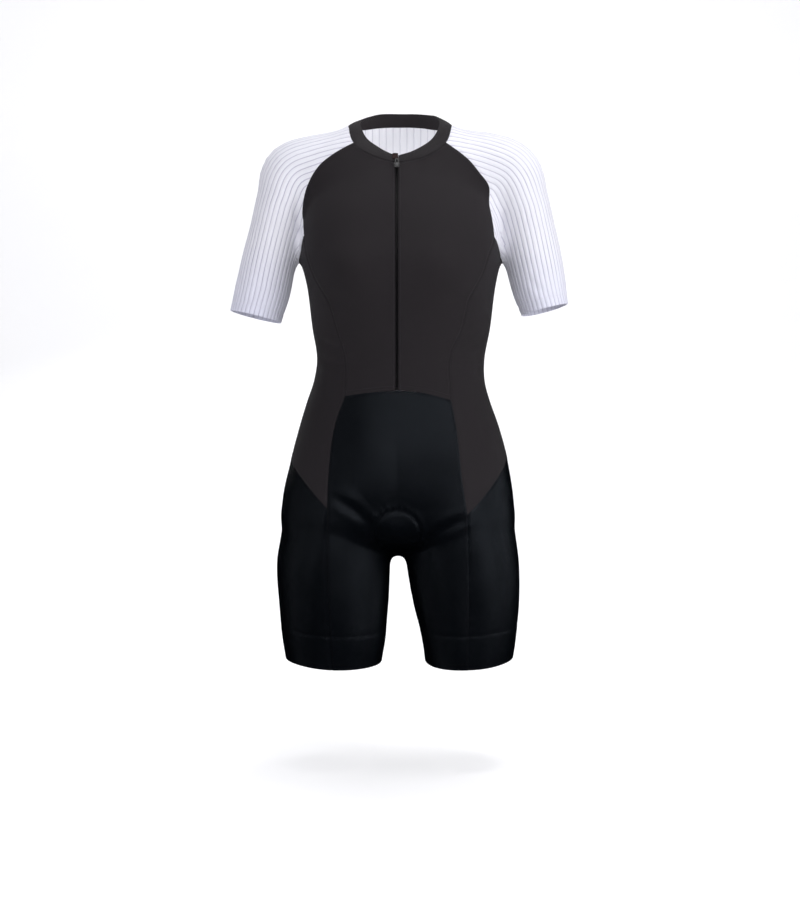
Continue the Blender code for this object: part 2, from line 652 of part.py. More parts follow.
def build_collar(grid, ways, finish):
    rows, columns = grid.shape[:2]
    index = np.arange(rows * columns).reshape(rows, columns)
    quads = np.stack([index[:-1, :-1], index[1:, :-1], index[1:, 1:], index[:-1, 1:]], -1).reshape(-1, 4)
    outer = grid.reshape(-1, 3)
    thickened("collar", outer, outer - COLLAR_CLOTH * ways.reshape(-1, 3), quads, finish)


# ---- the zip -------------------------------------------------------------------------------------------
def zip_path(collar, seams):
    """The zip's middle line on the outer face of the cloth, from the collar's top edge to the waist."""
    bands = (collar[:, 0] + collar[:, -1]) / 2
    fronts = (seams[RIGHT]["front_edge"] + seams[LEFT]["front_edge"]) / 2
    path = np.vstack([bands[:-1], fronts])
    path[:, 0] = ZIP_X
    return path


def part_of(path, start, end):
    """The stretch of a path between two distances along it."""
    run = length_along(path)
    inside = run[(run > start + 1) & (run < end - 1)]
    places = np.concatenate([[start], inside, [end]])
    return np.stack([np.interp(places, run, path[:, k]) for k in range(3)], axis=1)


def strap(name, path, half_width, front, back, finish):
    """A flat strap along a path down the suit's front."""
    down = np.gradient(path, axis=0)
    out = np.cross(down, [1.0, 0, 0])
    out /= np.linalg.norm(out, axis=1)[:, None]
    across = np.array([half_width, 0, 0])
    made = bmesh.new()
    last = None
    for point, way in zip(path, out):
        corners = [point - across + front * way, point + across + front * way, point + across + back * way,
                   point - across + back * way]
        ring = [made.verts.new(corner * MM) for corner in corners]
        if last is None:
            made.faces.new(ring)
        else:
            for k in range(4):
                made.faces.new([last[k], ring[k], ring[k - 3], last[k - 3]])
        last = ring
    made.faces.new(last[::-1])
    return finished(name, made, finish)


def finished(name, made, finish, place=None):
    """An object from a bmesh in metres, its faces turned out."""
    bmesh.ops.recalc_face_normals(made, faces=made.faces)
    mesh = bpy.data.meshes.new(name)
    made.to_mesh(mesh)
    made.free()
    mesh.materials.append(finish)
    result = bpy.data.objects.new(name, mesh)
    if place is not None:
        result.location = place
    bpy.context.scene.collection.objects.link(result)
    return result


def extruded(made, faces, travel):
    """The faces of a bmesh drawn out into a solid."""
    swept = bmesh.ops.extrude_face_region(made, geom=faces)
    far = [v for v in swept["geom"] if isinstance(v, bmesh.types.BMVert)]
    bmesh.ops.translate(made, verts=far, vec=travel)


def block(name, corners, travel, finish):
    made = bmesh.new()
    extruded(made, [made.faces.new([made.verts.new(corner) for corner in corners])], travel)
    return finished(name, made, finish)


def frame_at(path, distance, spread=4.0):
    """A point of the path, with the ways across, down along it and out from the cloth."""
    run = length_along(path)
    near = np.stack([np.interp([distance - spread, distance, distance + spread], run, path[:, k])
                     for k in range(3)], axis=1)
    down = near[2] - near[0]
    down /= np.linalg.norm(down)
    out = np.cross(down, [1.0, 0, 0])
    return near[1], np.array([1.0, 0, 0]), down, out / np.linalg.norm(out)


def build_slider(path, metal):
    middle, across, down, out = frame_at(path, SLIDER_DOWN)
    place = [(middle + u * across + v * down + SLIDER_BACK * out) * MM for u, v in SLIDER_OUTLINE]
    body = block("zip_slider", place, (SLIDER_FRONT - SLIDER_BACK) * MM * out, metal)
    place = [(middle - BRIDGE_HALF_WIDTH * across + v * down + w * out) * MM for v, w in BRIDGE_OUTLINE]
    bridge = block("slider_bridge_operand", place, 2 * BRIDGE_HALF_WIDTH * MM * across, metal)
    bridge.hide_render = True
    bridge.display_type = "WIRE"
    join = body.modifiers.new("Bridge", "BOOLEAN")
    join.operation, join.object, join.solver = "UNION", bridge, "EXACT"
    return middle, across, down, out


def build_pull(frame, metal):
    middle, across, down, out = frame
    pin = (middle + PIN_OUT * out) * MM
    made = bmesh.new()
    rows = []
    for v, half_width, _ in PULL:
        eye = min(PULL_EYE, half_width / 2)
        rows.append([made.verts.new((u * across + v * down - PULL_THICKNESS / 2 * out) * MM)
                     for u in (-half_width, -eye, eye, half_width)])
    faces = []
    for (above, below), (_, _, opened) in zip(zip(rows, rows[1:]), PULL):
        for k in range(3):
            if not (opened and k == 1):
                faces.append(made.faces.new([above[k], above[k + 1], below[k + 1], below[k]]))
    extruded(made, faces, PULL_THICKNESS * MM * out)
    finished("zip_pull", made, metal, pin)


def build_zip(path, black, cloth):
    run = length_along(path)[-1]
    chain = part_of(path, CHAIN_START, run + CHAIN_END)
    strap("zip_chain", chain, CHAIN_HALF_WIDTH, CHAIN_FRONT, CHAIN_BACK, black)
    stop = part_of(path, run + CHAIN_END + SEAM_GAP, run + CHAIN_END + SEAM_GAP + STOP_LENGTH)
    strap("zip_bottom_stop", stop, CHAIN_HALF_WIDTH, STOP_FRONT, CHAIN_BACK, black)
    strap("zip_tape", part_of(path, CHAIN_START, run - 1), TAPE_HALF_WIDTH, TAPE_FRONT, TAPE_BACK, cloth)
    build_pull(build_slider(path, black), black)
    top, across, down, out = frame_at(path, 3.0, 3.0)
    top = top - 3.0 * down
    left_end, right_end = GARAGE_X
    place = [(top + (left_end - ZIP_X) * across + v * down + w * out) * MM for v, w in GARAGE_OUTLINE]
    block("zip_garage", place, (right_end - left_end) * MM * across, cloth)


def build_panels(all_seams):
    charcoal = material("charcoal_jersey", (0.026, 0.022, 0.024), 0.75)
    black = material("blue_black_lycra", (0.006, 0.007, 0.009), 0.5)
    white = material("pinstripe_white", (0.76, 0.74, 0.80), 0.8)
    trunk = UprightMiddle(TRUNK_MIDDLE)
    shorts_front, back_halves = [], []
    for side, word in ((RIGHT, "right"), (LEFT, "left")):
        s = all_seams[side]
        legs = shorts_middle(side)
        front = cloth_grid(s["front_edge"], joined(s["raglan_front"], s["princess"]), s["neck_front"],
                           s["waist_front"], trunk)
        panel("front_" + word, [front], charcoal)
        armhole = joined(s["armhole_front"], s["armhole_back"][::-1])
        side_panel = cloth_grid(joined(s["princess"], s["shorts_front"]),
                                joined(s["side_back"], s["seat_side"]), armhole, s["hip"], trunk)
        panel("side_" + word, [side_panel], charcoal)
        back_halves.append(cloth_grid(joined(s["raglan_back"], s["side_back"]), s["centre_back"],
                                      s["neck_back"], s["waist_back"], trunk))
        panel("sleeve_" + word, sleeve_grids(side, s), white)
        shorts_front.append(cloth_grid(joined(s["fly"], s["inseam"]),
                                       joined(s["shorts_front"], s["leg_front"]),
                                       s["waist_top"], s["hem_front"], legs))
        leg_side = cloth_grid(s["leg_front"], s["leg_back"], s["hip"], s["hem_side"], legs)
        panel("leg_side_" + word, [leg_side], black)
        seat = cloth_grid(joined(s["seat_side"], s["leg_back"]), joined(s["spine"], s["inseam"]),
                          s["waist_back"], s["hem_seat"], legs)
        panel("seat_" + word, [seat], black)
    panel("back", back_halves, white)
    panel("front_shorts", shorts_front, black)
    collar, ways = collar_grid(all_seams)
    build_collar(collar, ways, charcoal)
    zip_black = material("zip_black", (0.008, 0.008, 0.009), 0.35)
    garage_cloth = material("zip_cloth", (0.03, 0.017, 0.016), 0.8)
    build_zip(zip_path(collar, all_seams), zip_black, garage_cloth)


def main():
    for old in list(bpy.data.objects):
        bpy.data.objects.remove(old)
    build_panels({side: seams_of(side) for side in (RIGHT, LEFT)})


if __name__ == "__main__":
    main()
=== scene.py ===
"""Triathlon suit: fine cloth panels, seams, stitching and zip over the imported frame, and the studio.

Lengths in the tables are millimetres in the frame's own axes: +Z up, the wearer faces -Y and their
right is -X. The suit is one smooth hollow form; seams are curves on it and panels are grids between them.
"""

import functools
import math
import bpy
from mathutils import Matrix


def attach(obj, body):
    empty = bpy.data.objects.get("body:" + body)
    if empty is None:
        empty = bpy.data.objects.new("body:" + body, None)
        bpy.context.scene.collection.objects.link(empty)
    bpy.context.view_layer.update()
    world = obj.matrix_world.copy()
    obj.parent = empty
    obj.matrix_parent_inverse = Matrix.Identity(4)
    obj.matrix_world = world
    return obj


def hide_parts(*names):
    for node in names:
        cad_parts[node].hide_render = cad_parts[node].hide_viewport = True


bl_info = {
    "name": "Triathlon suit",
    "version": (1, 0, 0),
    "blender": (4, 5, 0),
    "location": "3D View > Sidebar > Suit",
    "description": "Dresses a hollow short-sleeved triathlon suit in cut cloth panels with a front zip",
    "category": "Object",
}

import bmesh
import bpy
import numpy as np
from bpy.props import FloatProperty, FloatVectorProperty, PointerProperty
from bpy.types import Operator, Panel, PropertyGroup
from mathutils import Matrix, Vector, noise
from mathutils.kdtree import KDTree

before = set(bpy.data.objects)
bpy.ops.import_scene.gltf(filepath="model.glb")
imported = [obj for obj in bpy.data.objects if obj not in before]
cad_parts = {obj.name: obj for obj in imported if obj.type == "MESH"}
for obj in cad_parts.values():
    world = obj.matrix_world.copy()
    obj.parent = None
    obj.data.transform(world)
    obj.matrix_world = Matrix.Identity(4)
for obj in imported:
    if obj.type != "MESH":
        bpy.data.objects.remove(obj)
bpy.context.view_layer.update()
MM = 0.001
RIGHT, LEFT = -1, 1
WORDS = {RIGHT: "right", LEFT: "left"}

# How softly the parts of the form run into each other.
NECK_SOFTNESS, ARMPIT_SOFTNESS, CROTCH_SOFTNESS = 40.0, 18.0, 22.0
SOFTER_FROM, SOFTER_OVER = -150, 90  # from the armpit's softness to the neck's, on the way up
ARM_REGION = (-60, -400)  # farther in and farther down the arms no longer count

# The trunk, level by level: its middle, its reaches to either side, front and back, and how square it is.
# Columns: z, middle, half width, front, back, square.
TRUNK = (
    (40, 0, 48, 38, 48, 2.0),
    (6, 0, 62, 44, 60, 2.3),
    (-20, 0, 87, 51, 74, 2.2),
    (-50, 0, 115, 62, 86, 2.1),
    (-85, 0, 134, 78, 95, 2.2),
    (-120, 0, 144, 93, 99, 2.3),
    (-160, 1, 149, 106, 98, 2.35),
    (-200, 1, 147, 114, 92, 2.35),
    (-240, 2, 139, 113, 85, 2.35),
    (-300, 2, 132, 102, 75, 2.3),
    (-345, 1, 125, 93, 70, 2.2),
    (-375, -1, 127.5, 94, 77, 2.2),
    (-405, -2, 136, 97, 87, 2.2),
    (-450, -1, 151, 102, 103, 2.25),
    (-495, -1, 162, 104, 115, 2.3),
    (-555, -4, 169, 100, 121, 2.3),
    (-595, -4, 160, 88, 110, 2.3),
    (-615, -3, 130, 68, 84, 2.1),
    (-628, -3, 80, 36, 44, 2.0),
    (-634, -3, 10, 8, 8, 2.0),
)

# Each leg, level by level; its middle is counted from the centre line.
# Columns: z, middle, half width, front, back.
LEG_RIGHT = (
    (-480, 80, 60, 70, 80),
    (-560, 90, 80, 90, 100),
    (-616, 97, 83, 91, 100),
    (-646, 100, 85, 90, 97),
    (-707, 100, 82.5, 86, 90),
    (-768, 99.6, 77, 81, 85),
    (-800, 100, 72, 78, 83),
    (-860, 100, 68, 76, 80),
)
LEG_LEFT = (
    (-480, 78, 60, 70, 80),
    (-560, 86, 80, 90, 100),
    (-616, 92, 83, 91, 100),
    (-646, 94, 84.5, 90, 97),
    (-707, 99.8, 80, 87, 92),
    (-768, 104, 70, 85, 89),
    (-800, 104, 65.5, 83, 88),
    (-860, 104, 62, 81, 86),
)

# Each arm, along its middle line from beside the neck to the cuff.
# Columns: x, y, z, half width, half depth.
ARM_RIGHT = (
    (40, 4, -56, 45, 46),
    (85, 6, -53.5, 46, 48),
    (125, 7, -61, 49, 50),
    (155, 8, -74, 51.5, 50),
    (172, 7, -110, 42.5, 49),
    (184, 5, -152, 39.5, 48),
    (196.5, 3, -204, 40.5, 47),
    (205, 0, -243, 41, 46),
    (215, -3, -281, 38.5, 45),
    (224, -6, -322, 37, 44),
)
ARM_LEFT = (
    (40, 4, -56, 45, 46),
    (85, 6, -51.5, 46, 48),
    (127, 7, -59, 51, 50),
    (158, 8, -74, 53.5, 50),
    (178, 7, -112, 44, 49),
    (189, 5, -152, 42, 48),
    (200, 3, -202, 42, 47),
    (208, 0, -240, 40, 46),
    (216, -3, -271, 35, 45),
    (226, -6, -312, 33, 44),
)
ARM_STEPS = 60  # straight steps that the arm's middle line is taken in

# Soft swellings of the cloth: where each is, how far it spreads and how far it stands out.
# Columns: x, z, facing, wide, tall, out.
SWELLINGS = (
    (-68, -226, -1, 46, 44, 9),  # cup of the right front
    (68, -226, -1, 46, 44, 9),  # cup of the left front
    (0, -602, -1, 30, 28, 7),  # seat pad behind the front of the shorts
    (-72, -545, 1, 55, 60, 8),  # right seat
    (72, -545, 1, 55, 60, 8),  # left seat
)

# The collar: where its top edge lies from the neck seam, at shares of the way from the zip to the nape.
# Inward is towards the middle of the neck from either side.
# Columns: share, inward, back, up.
COLLAR = (
    (0.0, 0, 10, 10.5),
    (0.09, 6.0, 11.4, 11),
    (0.19, 15, 14, 10.5),
    (0.27, 16.7, 14, 8.5),
    (0.35, 17.8, 12.5, 7.5),
    (0.42, 17, 12, 6.5),
    (0.50, 16.5, 10.4, 7.3),
    (0.57, 17, 7.8, 9.7),
    (0.66, 16.5, 0, 15.3),
    (0.76, 13.5, -5.5, 20.5),
    (0.88, 6.5, -8.6, 19.5),
    (1.0, 0, -10.2, 18.5),
)
COLLAR_CLOTH = 1.8  # a doubled band
GARAGE_CLOTH = 0.8
COLLAR_CROWN = 1.6  # how far the band bows out half way up
COLLAR_FINE_ROWS = 10
COLLAR_ROUNDING = 150  # rounds of smoothing of its top edge


# ---- smooth tables and curves ----
def through(places, values, wanted):
    """Values at the wanted places on smooth curves through the table's rows; places increase."""
    steps = np.diff(places)
    slopes = np.diff(values, axis=0) / steps[:, None]
    tangents = np.vstack([slopes[:1], (slopes[:-1] + slopes[1:]) / 2, slopes[-1:]])
    row = np.clip(np.searchsorted(places, wanted) - 1, 0, len(steps) - 1)
    width = steps[row][:, None]
    s = np.clip((wanted - places[row])[:, None] / width, 0, 1)
    start, end = values[row], values[row + 1]
    rise, fall = tangents[row] * width, tangents[row + 1] * width
    bend = s * s * (3 - 2 * s)
    return start + (end - start) * bend + rise * s * (1 - s) ** 2 - fall * s * s * (1 - s)


def levels(table):
    """A z-by-z table as rising places and their values."""
    rows = np.array(sorted(table), float)
    return rows[:, 0], rows[:, 1:]


def length_along(points):
    return np.concatenate([[0.0], np.cumsum(np.linalg.norm(np.diff(points, axis=0), axis=1))])


def read_along(line, run, places):
    """Points of a line at these places, where run says how far along each of its own points is."""
    return np.stack([np.interp(places, run, line[:, k]) for k in range(3)], axis=1)


def unit(ways):
    return ways / np.linalg.norm(ways, axis=-1)[..., None]


# ---- the form ----
def beyond_section(across, depth, half_width, front, back, square=2.0):
    """How far a point lies outside a rounded section, measured from the section's middle."""
    reach = np.where(depth < 0, front, back)
    radius = np.hypot(across, depth) + 1e-6
    share = (np.abs(across / half_width) ** square + np.abs(depth / reach) ** square) ** (1 / square)
    return radius - radius / np.maximum(share, 1e-6)


def ended(outside, beyond):
    """Distances outside a section that ends: beyond is how far past its end a point is, if above zero."""
    return np.where(beyond > 0, np.hypot(np.maximum(outside, 0), beyond), outside)


def beyond_trunk(p):
    places, values = levels(TRUNK)
    middle, half_width, front, back, square = through(places, values, p[:, 2]).T
    outside = beyond_section(p[:, 0] - middle, p[:, 1], half_width, front, back, square)
    return ended(outside, places[0] - p[:, 2])


def beyond_leg(p, table, side):
    places, values = levels(table)
    middle, half_width, front, back = through(places, values, p[:, 2]).T
    outside = beyond_section(p[:, 0] - side * middle, p[:, 1], half_width, front, back)
    return ended(outside, p[:, 2] - places[-1])


def arm_line(table, side):
    """Points along an arm's middle, with the direction, the outward and the depth direction of each."""
    rows = np.array(table, float)
    rows[:, 0] *= side
    run = length_along(rows[:, :3])
    fine = through(run, rows, np.linspace(0, run[-1], ARM_STEPS + 1))
    middle, sizes = fine[:, :3], fine[:, 3:]
    along = unit(np.gradient(middle, axis=0))
    outward = unit(np.cross(along, [0, 1, 0]) * side)
    return middle, along, outward, np.cross(outward, along) * side, sizes


ARMS = {RIGHT: arm_line(ARM_RIGHT, RIGHT), LEFT: arm_line(ARM_LEFT, LEFT)}


def arm_places(p, side):
    """Where points lie on an arm: step along it, out from its middle, and towards the back."""
    middle, along, outward, depth, sizes = ARMS[side]
    nearest = np.argmin(((p[:, None, :] - middle[None]) ** 2).sum(2), axis=1)
    pace = np.linalg.norm(np.diff(middle, axis=0), axis=1).mean()
    ahead = ((p - middle[nearest]) * along[nearest]).sum(1) / pace
    step = np.clip(nearest + np.clip(ahead, -1, 1), 0, ARM_STEPS)
    low = np.minimum(step.astype(int), ARM_STEPS - 1)
    share = (step - low)[:, None]
    centre, out_way, back_way, size, forward = (
        a[low] + (a[low + 1] - a[low]) * share for a in (middle, outward, depth, sizes, along))
    away = p - centre
    overshoot = (away * forward).sum(1)
    return step, (away * out_way).sum(1), (away * back_way).sum(1), size, overshoot


def beyond_arm(p, side):
    step, out, back, size, overshoot = arm_places(p, side)
    outside = beyond_section(out, back, size[:, 0], size[:, 1], size[:, 1])
    past_end = ((step <= 0) & (overshoot < 0)) | ((step >= ARM_STEPS) & (overshoot > 0))
    return ended(outside, past_end * np.abs(overshoot))


def soft_union(a, b, softness):
    """The nearer of two shapes, with the corner between them filled by a round of this softness."""
    blend = np.maximum(softness - np.abs(a - b), 0)
    return np.minimum(a, b) - blend**2 / (4 * softness)


def swelling(p):
    out = np.zeros(len(p))
    for x, z, facing, wide, tall, stands in SWELLINGS:
        spread = np.exp(-(((p[:, 0] - x) / wide) ** 2) - ((p[:, 2] - z) / tall) ** 2)
        out += stands * spread * np.clip(facing * p[:, 1] / 30, 0, 1)
    return out


def form(p):
    """Below zero inside the filled-out suit, zero on it, about the distance in millimetres outside."""
    legs = soft_union(beyond_leg(p, LEG_RIGHT, RIGHT), beyond_leg(p, LEG_LEFT, LEFT), CROTCH_SOFTNESS)
    body = soft_union(beyond_trunk(p), legs, CROTCH_SOFTNESS)
    arms = np.full(len(p), 900.0)
    innermost, lowest = ARM_REGION
    high = np.flatnonzero(p[:, 2] > lowest)
    for side in (RIGHT, LEFT):
        near = high[side * p[high, 0] > innermost]
        if len(near):
            arms[near] = np.minimum(arms[near], beyond_arm(p[near], side))
    high = np.clip((p[:, 2] - SOFTER_FROM) / SOFTER_OVER, 0, 1)
    softness = ARMPIT_SOFTNESS + (NECK_SOFTNESS - ARMPIT_SOFTNESS) * high * high * (3 - 2 * high)
    return soft_union(body, arms, softness) - swelling(p)


def uphill(p, step=0.4):
    """The form's gradient, which points out of the suit."""
    slope = np.empty_like(p)
    for axis in range(3):
        nudge = np.zeros(3)
        nudge[axis] = step
        slope[:, axis] = (form(p + nudge) - form(p - nudge)) / (2 * step)
    return slope


def seated(p, rounds=7):
    """Points moved straight in or out until they lie on the form."""
    p = np.array(p, float)
    for _ in range(rounds):
        slope = uphill(p)
        p -= np.clip(form(p), -12, 12)[:, None] * slope / (slope**2).sum(1)[:, None].clip(0.05)
    return p


def seated_grid(grid, rounds=2):
    return seated(grid.reshape(-1, 3), rounds).reshape(grid.shape)


def outward_ways(p):
    return unit(uphill(p))


# ---- seams: named corners, and the points that each seam passes between two of them ----
ZIP_X = -4.5  # the suit fills out a little unevenly, so its zip stands just right of the middle
ZIP_HALF_SLOT = 2.1  # from the zip's middle to the edge of each front
ZIP_Z = (-386, -50)  # the stretch of the fronts that the zip is sewn along


def zip_edges(*places):
    """Points on the right and on the left edge of the zip's slot, at these y and z."""
    return [tuple((x, y, z) for y, z in places) for x in (ZIP_X - ZIP_HALF_SLOT, ZIP_X + ZIP_HALF_SLOT)]


# Corners of the cut, right side then left side.
CORNERS = {
    "neck_centre": [edge[0] for edge in zip_edges((-65, -58))],
    "neck_raglan": ((-68, -48, -28), (67, -48, -28)),
    "nape_raglan": ((-63, 42, 4), (63, 42, 4)),
    "nape": ((-1, 61, 6), (-1, 61, 6)),
    "chest_armhole": ((-141, -41, -162), (135, -50, -165)),
    "armpit": ((-150, 0, -196), (149, 0, -194)),
    "back_armhole": ((-141, 47, -160), (139, 47, -160)),
    "waist_zip": [edge[0] for edge in zip_edges((-95, -387))],
    "waist_centre": ((ZIP_X, -95, -388), (ZIP_X, -95, -388)),
    "waist_front": ((-80, -81, -396), (74, -83, -402)),
    "waist_back": ((-96, 68, -394), (94, 68, -396)),
    "waist_spine": ((-2, 84, -398), (-2, 84, -398)),
    "hip_front": ((-106, -92, -559), (98, -93, -568)),
    "hip_back": ((-131, 92, -478), (128, 92, -478)),
    "crotch": ((-3, 4, -639), (-3, 4, -639)),
    "hem_inner": ((-28, 0, -798), (39, 0, -798)),
    "hem_front": ((-100, -78, -799), (101, -83, -798)),
    "hem_back": ((-112, 81, -797), (112, 86, -797)),
}
# Seams with closer steps at their start, or (-) at their end.
CROWDED = {"inseam": 1.7, "fly": -1.35, "spine": -1.35}
# Seams on the centre line, which pass the same points on both sides.
CENTRE_BACK = ((-1, 96, -100), (0, 92, -200), (0, 74, -310))
FLY = ((ZIP_X, -102, -450), (ZIP_X, -104, -520), (ZIP_X, -98, -590), (ZIP_X, -55, -630))
SPINE = ((-2, 108, -455), (-2, 120, -540), (-2, 100, -600), (-3, 50, -632))
# Each seam: the corners it joins, its steps, and the points it passes on the right and on the left.
# Columns: start, end, steps, right, left.
SEAMS = {
    "neck_front": ("neck_centre", "neck_raglan", 7, ((-34, -62, -50), (-52, -57, -41)),
                   ((31, -63, -51), (51, -58, -41))),
    "neck_side": ("neck_raglan", "nape_raglan", 18, ((-73, -22, -9), (-74, 5, 0)),
                  ((73, -22, -9), (74, 5, 0))),
    "neck_back": ("nape_raglan", "nape", 8, ((-36, 57, 6),), ((35, 57, 6),)),
    "front_edge": ("neck_centre", "waist_zip", 21, *zip_edges((-100, -150), (-116, -229), (-104, -300))),
    "raglan_front": ("neck_raglan", "chest_armhole", 9,
                     ((-96, -48, -43), (-115, -47, -58), (-128, -46, -75), (-139, -40, -100),
                      (-142, -33, -132)),
                     ((98, -49, -51), (116, -48, -72), (130, -43, -92), (134, -48, -125))),
    "armhole_front": ("chest_armhole", "armpit", 4, ((-146, -20, -188),), ((143, -24, -188),)),
    "raglan_back": ("nape_raglan", "back_armhole", 9,
                    ((-94, 62, -22), (-118, 72, -54), (-134, 66, -92), (-143, 50, -130)),
                    ((94, 62, -22), (118, 72, -54), (133, 66, -92), (141, 50, -130))),
    "armhole_back": ("back_armhole", "armpit", 4, ((-147, 22, -188),), ((145, 22, -187),)),
    "princess": ("chest_armhole", "waist_front", 12,
                 ((-134, -57, -199), (-126, -65, -221), (-105, -82, -258), (-92, -79, -298),
                  (-82, -77, -334)),
                 ((127, -70, -195), (120, -78, -218), (101, -90, -254), (89, -83, -300), (74, -82, -334))),
    "side_back": ("back_armhole", "waist_back", 12,
                  ((-131, 66, -215), (-113, 68, -280), (-99, 62, -340)),
                  ((130, 66, -215), (112, 68, -280), (98, 62, -340))),
    "centre_back": ("nape", "waist_spine", 21, CENTRE_BACK, CENTRE_BACK),
    "waist_front": ("waist_zip", "waist_front", 7, ((-38, -93, -390),), ((32, -93, -391),)),
    "waist_top": ("waist_centre", "waist_front", 7, ((-38, -93, -390),), ((32, -93, -391),)),
    "waist_back": ("waist_back", "waist_spine", 8, ((-52, 82, -397),), ((48, 82, -398),)),
    "shorts_front": ("waist_front", "hip_front", 6, ((-94, -82, -436), (-103, -87, -495)),
                     ((80, -87, -430), (90, -92, -517))),
    "leg_front": ("hip_front", "hem_front", 12, ((-107, -90, -622), (-105, -86, -708)),
                  ((99, -91, -605), (101, -86, -723))),
    "hip": ("hip_front", "hip_back", 8,
            ((-140, -68, -522), (-158, -35, -500), (-165, 8, -486), (-156, 58, -478)),
            ((113, -87, -553), (148, -55, -512), (163, 0, -484), (154, 58, -477))),
    "seat_side": ("waist_back", "hip_back", 6, ((-114, 86, -436),), ((112, 86, -436),)),
    "leg_back": ("hip_back", "hem_back", 12, ((-134, 97, -520), (-129, 100, -580), (-121, 95, -660)),
                 ((131, 97, -520), (127, 100, -580), (119, 95, -660))),
    "fly": ("waist_centre", "crotch", 11, FLY, FLY),
    "spine": ("waist_spine", "crotch", 11, SPINE, SPINE),
    "inseam": ("crotch", "hem_inner", 7, ((-11, 4, -643), (-15, 2, -658), (-19, 0, -705), (-22, 0, -755)),
               ((5, 4, -643), (10, 2, -658), (19, 0, -705), (32, 0, -755))),
    "hem_front": ("hem_inner", "hem_front", 7, ((-52, -60, -800),), ((58, -60, -800),)),
    "hem_side": ("hem_front", "hem_back", 8, ((-150, -56, -795), (-172, 0, -792), (-155, 56, -794)),
                 ((148, -60, -794), (169, 0, -791), (150, 62, -793))),
    "hem_seat": ("hem_back", "hem_inner", 8, ((-56, 64, -798),), ((62, 66, -798),)),
}
NECK = ("neck_front", "neck_side", "neck_back")
UNDERARM_STEPS = 8
BICEP_STEPS = 18  # same as the sleeve's neck edge
BICEP_ROUNDING = 60  # rounds of smoothing of the line round the arm
CUFF_ROW = 8  # row of the arm tables at which the sleeve ends
VALLEY_STEPS = 12  # fine steps of a sleeve from its seams to where it lies on the arm
GRID_ROUNDS = 10  # rounds of smoothing of a coarse grid
SETTLING = (5, 3)  # rounds of evening out a sleeve's rows, and of smoothing after each

# Middle lines that the panels lie around: the trunk's, and each half of the shorts' from hip to hem.
TRUNK_MIDDLE = ((-420, 0), (40, 0))
# Columns: z, x.
SHORTS_MIDDLE = ((-860, 100), (-700, 100), (-600, 97), (-520, 85), (-450, 60), (-390, 36), (-340, 20))


def crowded(steps, crowd):
    """Shares of a seam's length from 0 to 1: even for a crowd of 1, closer at one end otherwise."""
    even = np.linspace(0, 1, steps + 1)
    return even**crowd if crowd > 0 else 1 - (1 - even) ** -crowd


def seam_curves(points, stops, steps, crowd=1.0):
    """Stretches, from stop to stop, of the smooth curve through these points, seated on the form."""
    marks = seated(points)
    run = length_along(marks)
    curves = []
    for start, end, count in zip(stops, stops[1:], steps):
        fine = seated(through(run, marks, np.linspace(run[start], run[end], 8 * count + 1)), 3)
        fine_run = length_along(fine)
        curves.append(seated(read_along(fine, fine_run, fine_run[-1] * crowded(count, crowd)), 3))
    return curves


def seams_of(side, detail):
    """Every seam of one side, with detail 1 in its table's steps and with 0 in fine ones."""
    column = 0 if side == RIGHT else 1
    seams = {}
    for names in (NECK, *([name] for name in SEAMS if name not in NECK)):
        points, stops = [CORNERS[SEAMS[names[0]][0]][column]], [0]
        for name in names:
            points += [*SEAMS[name][3 + column], CORNERS[SEAMS[name][1]][column]]
            stops.append(len(points) - 1)
        steps = [SEAMS[name][2] * (detail or detail_of(name)) for name in names]
        curves = seam_curves(np.array(points, float), stops, steps, CROWDED.get(names[0], 1.0))
        seams.update(zip(names, curves))
    return seams


def joined(*runs):
    """Runs of points end to end, each starting where the last one stopped."""
    return np.vstack([runs[0]] + [run[1:] for run in runs[1:]])


# ---- laying a grid of cloth between four seams ----
class UprightMiddle:
    """Angles and distances around a line that climbs the trunk or a leg."""

    def __init__(self, rows):
        self.z, self.x = np.array(rows, float).T

    def places(self, p):
        across = p[:, 0] - np.interp(p[:, 2], self.z, self.x)
        return p[:, 2], np.arctan2(p[:, 1], across), np.hypot(across, p[:, 1])

    def points(self, level, angle, radius):
        x = np.interp(level, self.z, self.x)
        return np.stack([x + radius * np.cos(angle), radius * np.sin(angle), level], axis=1)


class ArmMiddle:
    """Angles and distances around an arm, whose angle 0 looks up and outward."""

    def __init__(self, side):
        self.side = side

    def places(self, p):
        step, out, back, _, _ = arm_places(p, self.side)
        return step, np.arctan2(back, out), np.hypot(out, back)

    def points(self, step, angle, radius):
        steps = np.arange(ARM_STEPS + 1)
        centre, _, outward, depth = (read_along(line, steps, step) for line in ARMS[self.side][:4])
        away = outward * (radius * np.cos(angle))[:, None] + depth * (radius * np.sin(angle))[:, None]
        return centre + away


def smoothed(grid, rounds):
    """The grid with its inner points moved, round after round, between their neighbours on the form."""
    for _ in range(rounds):
        grid[1:-1, 1:-1] = seated_grid(
            (grid[:-2, 1:-1] + grid[2:, 1:-1] + grid[1:-1, :-2] + grid[1:-1, 2:]) / 4)
    return grid


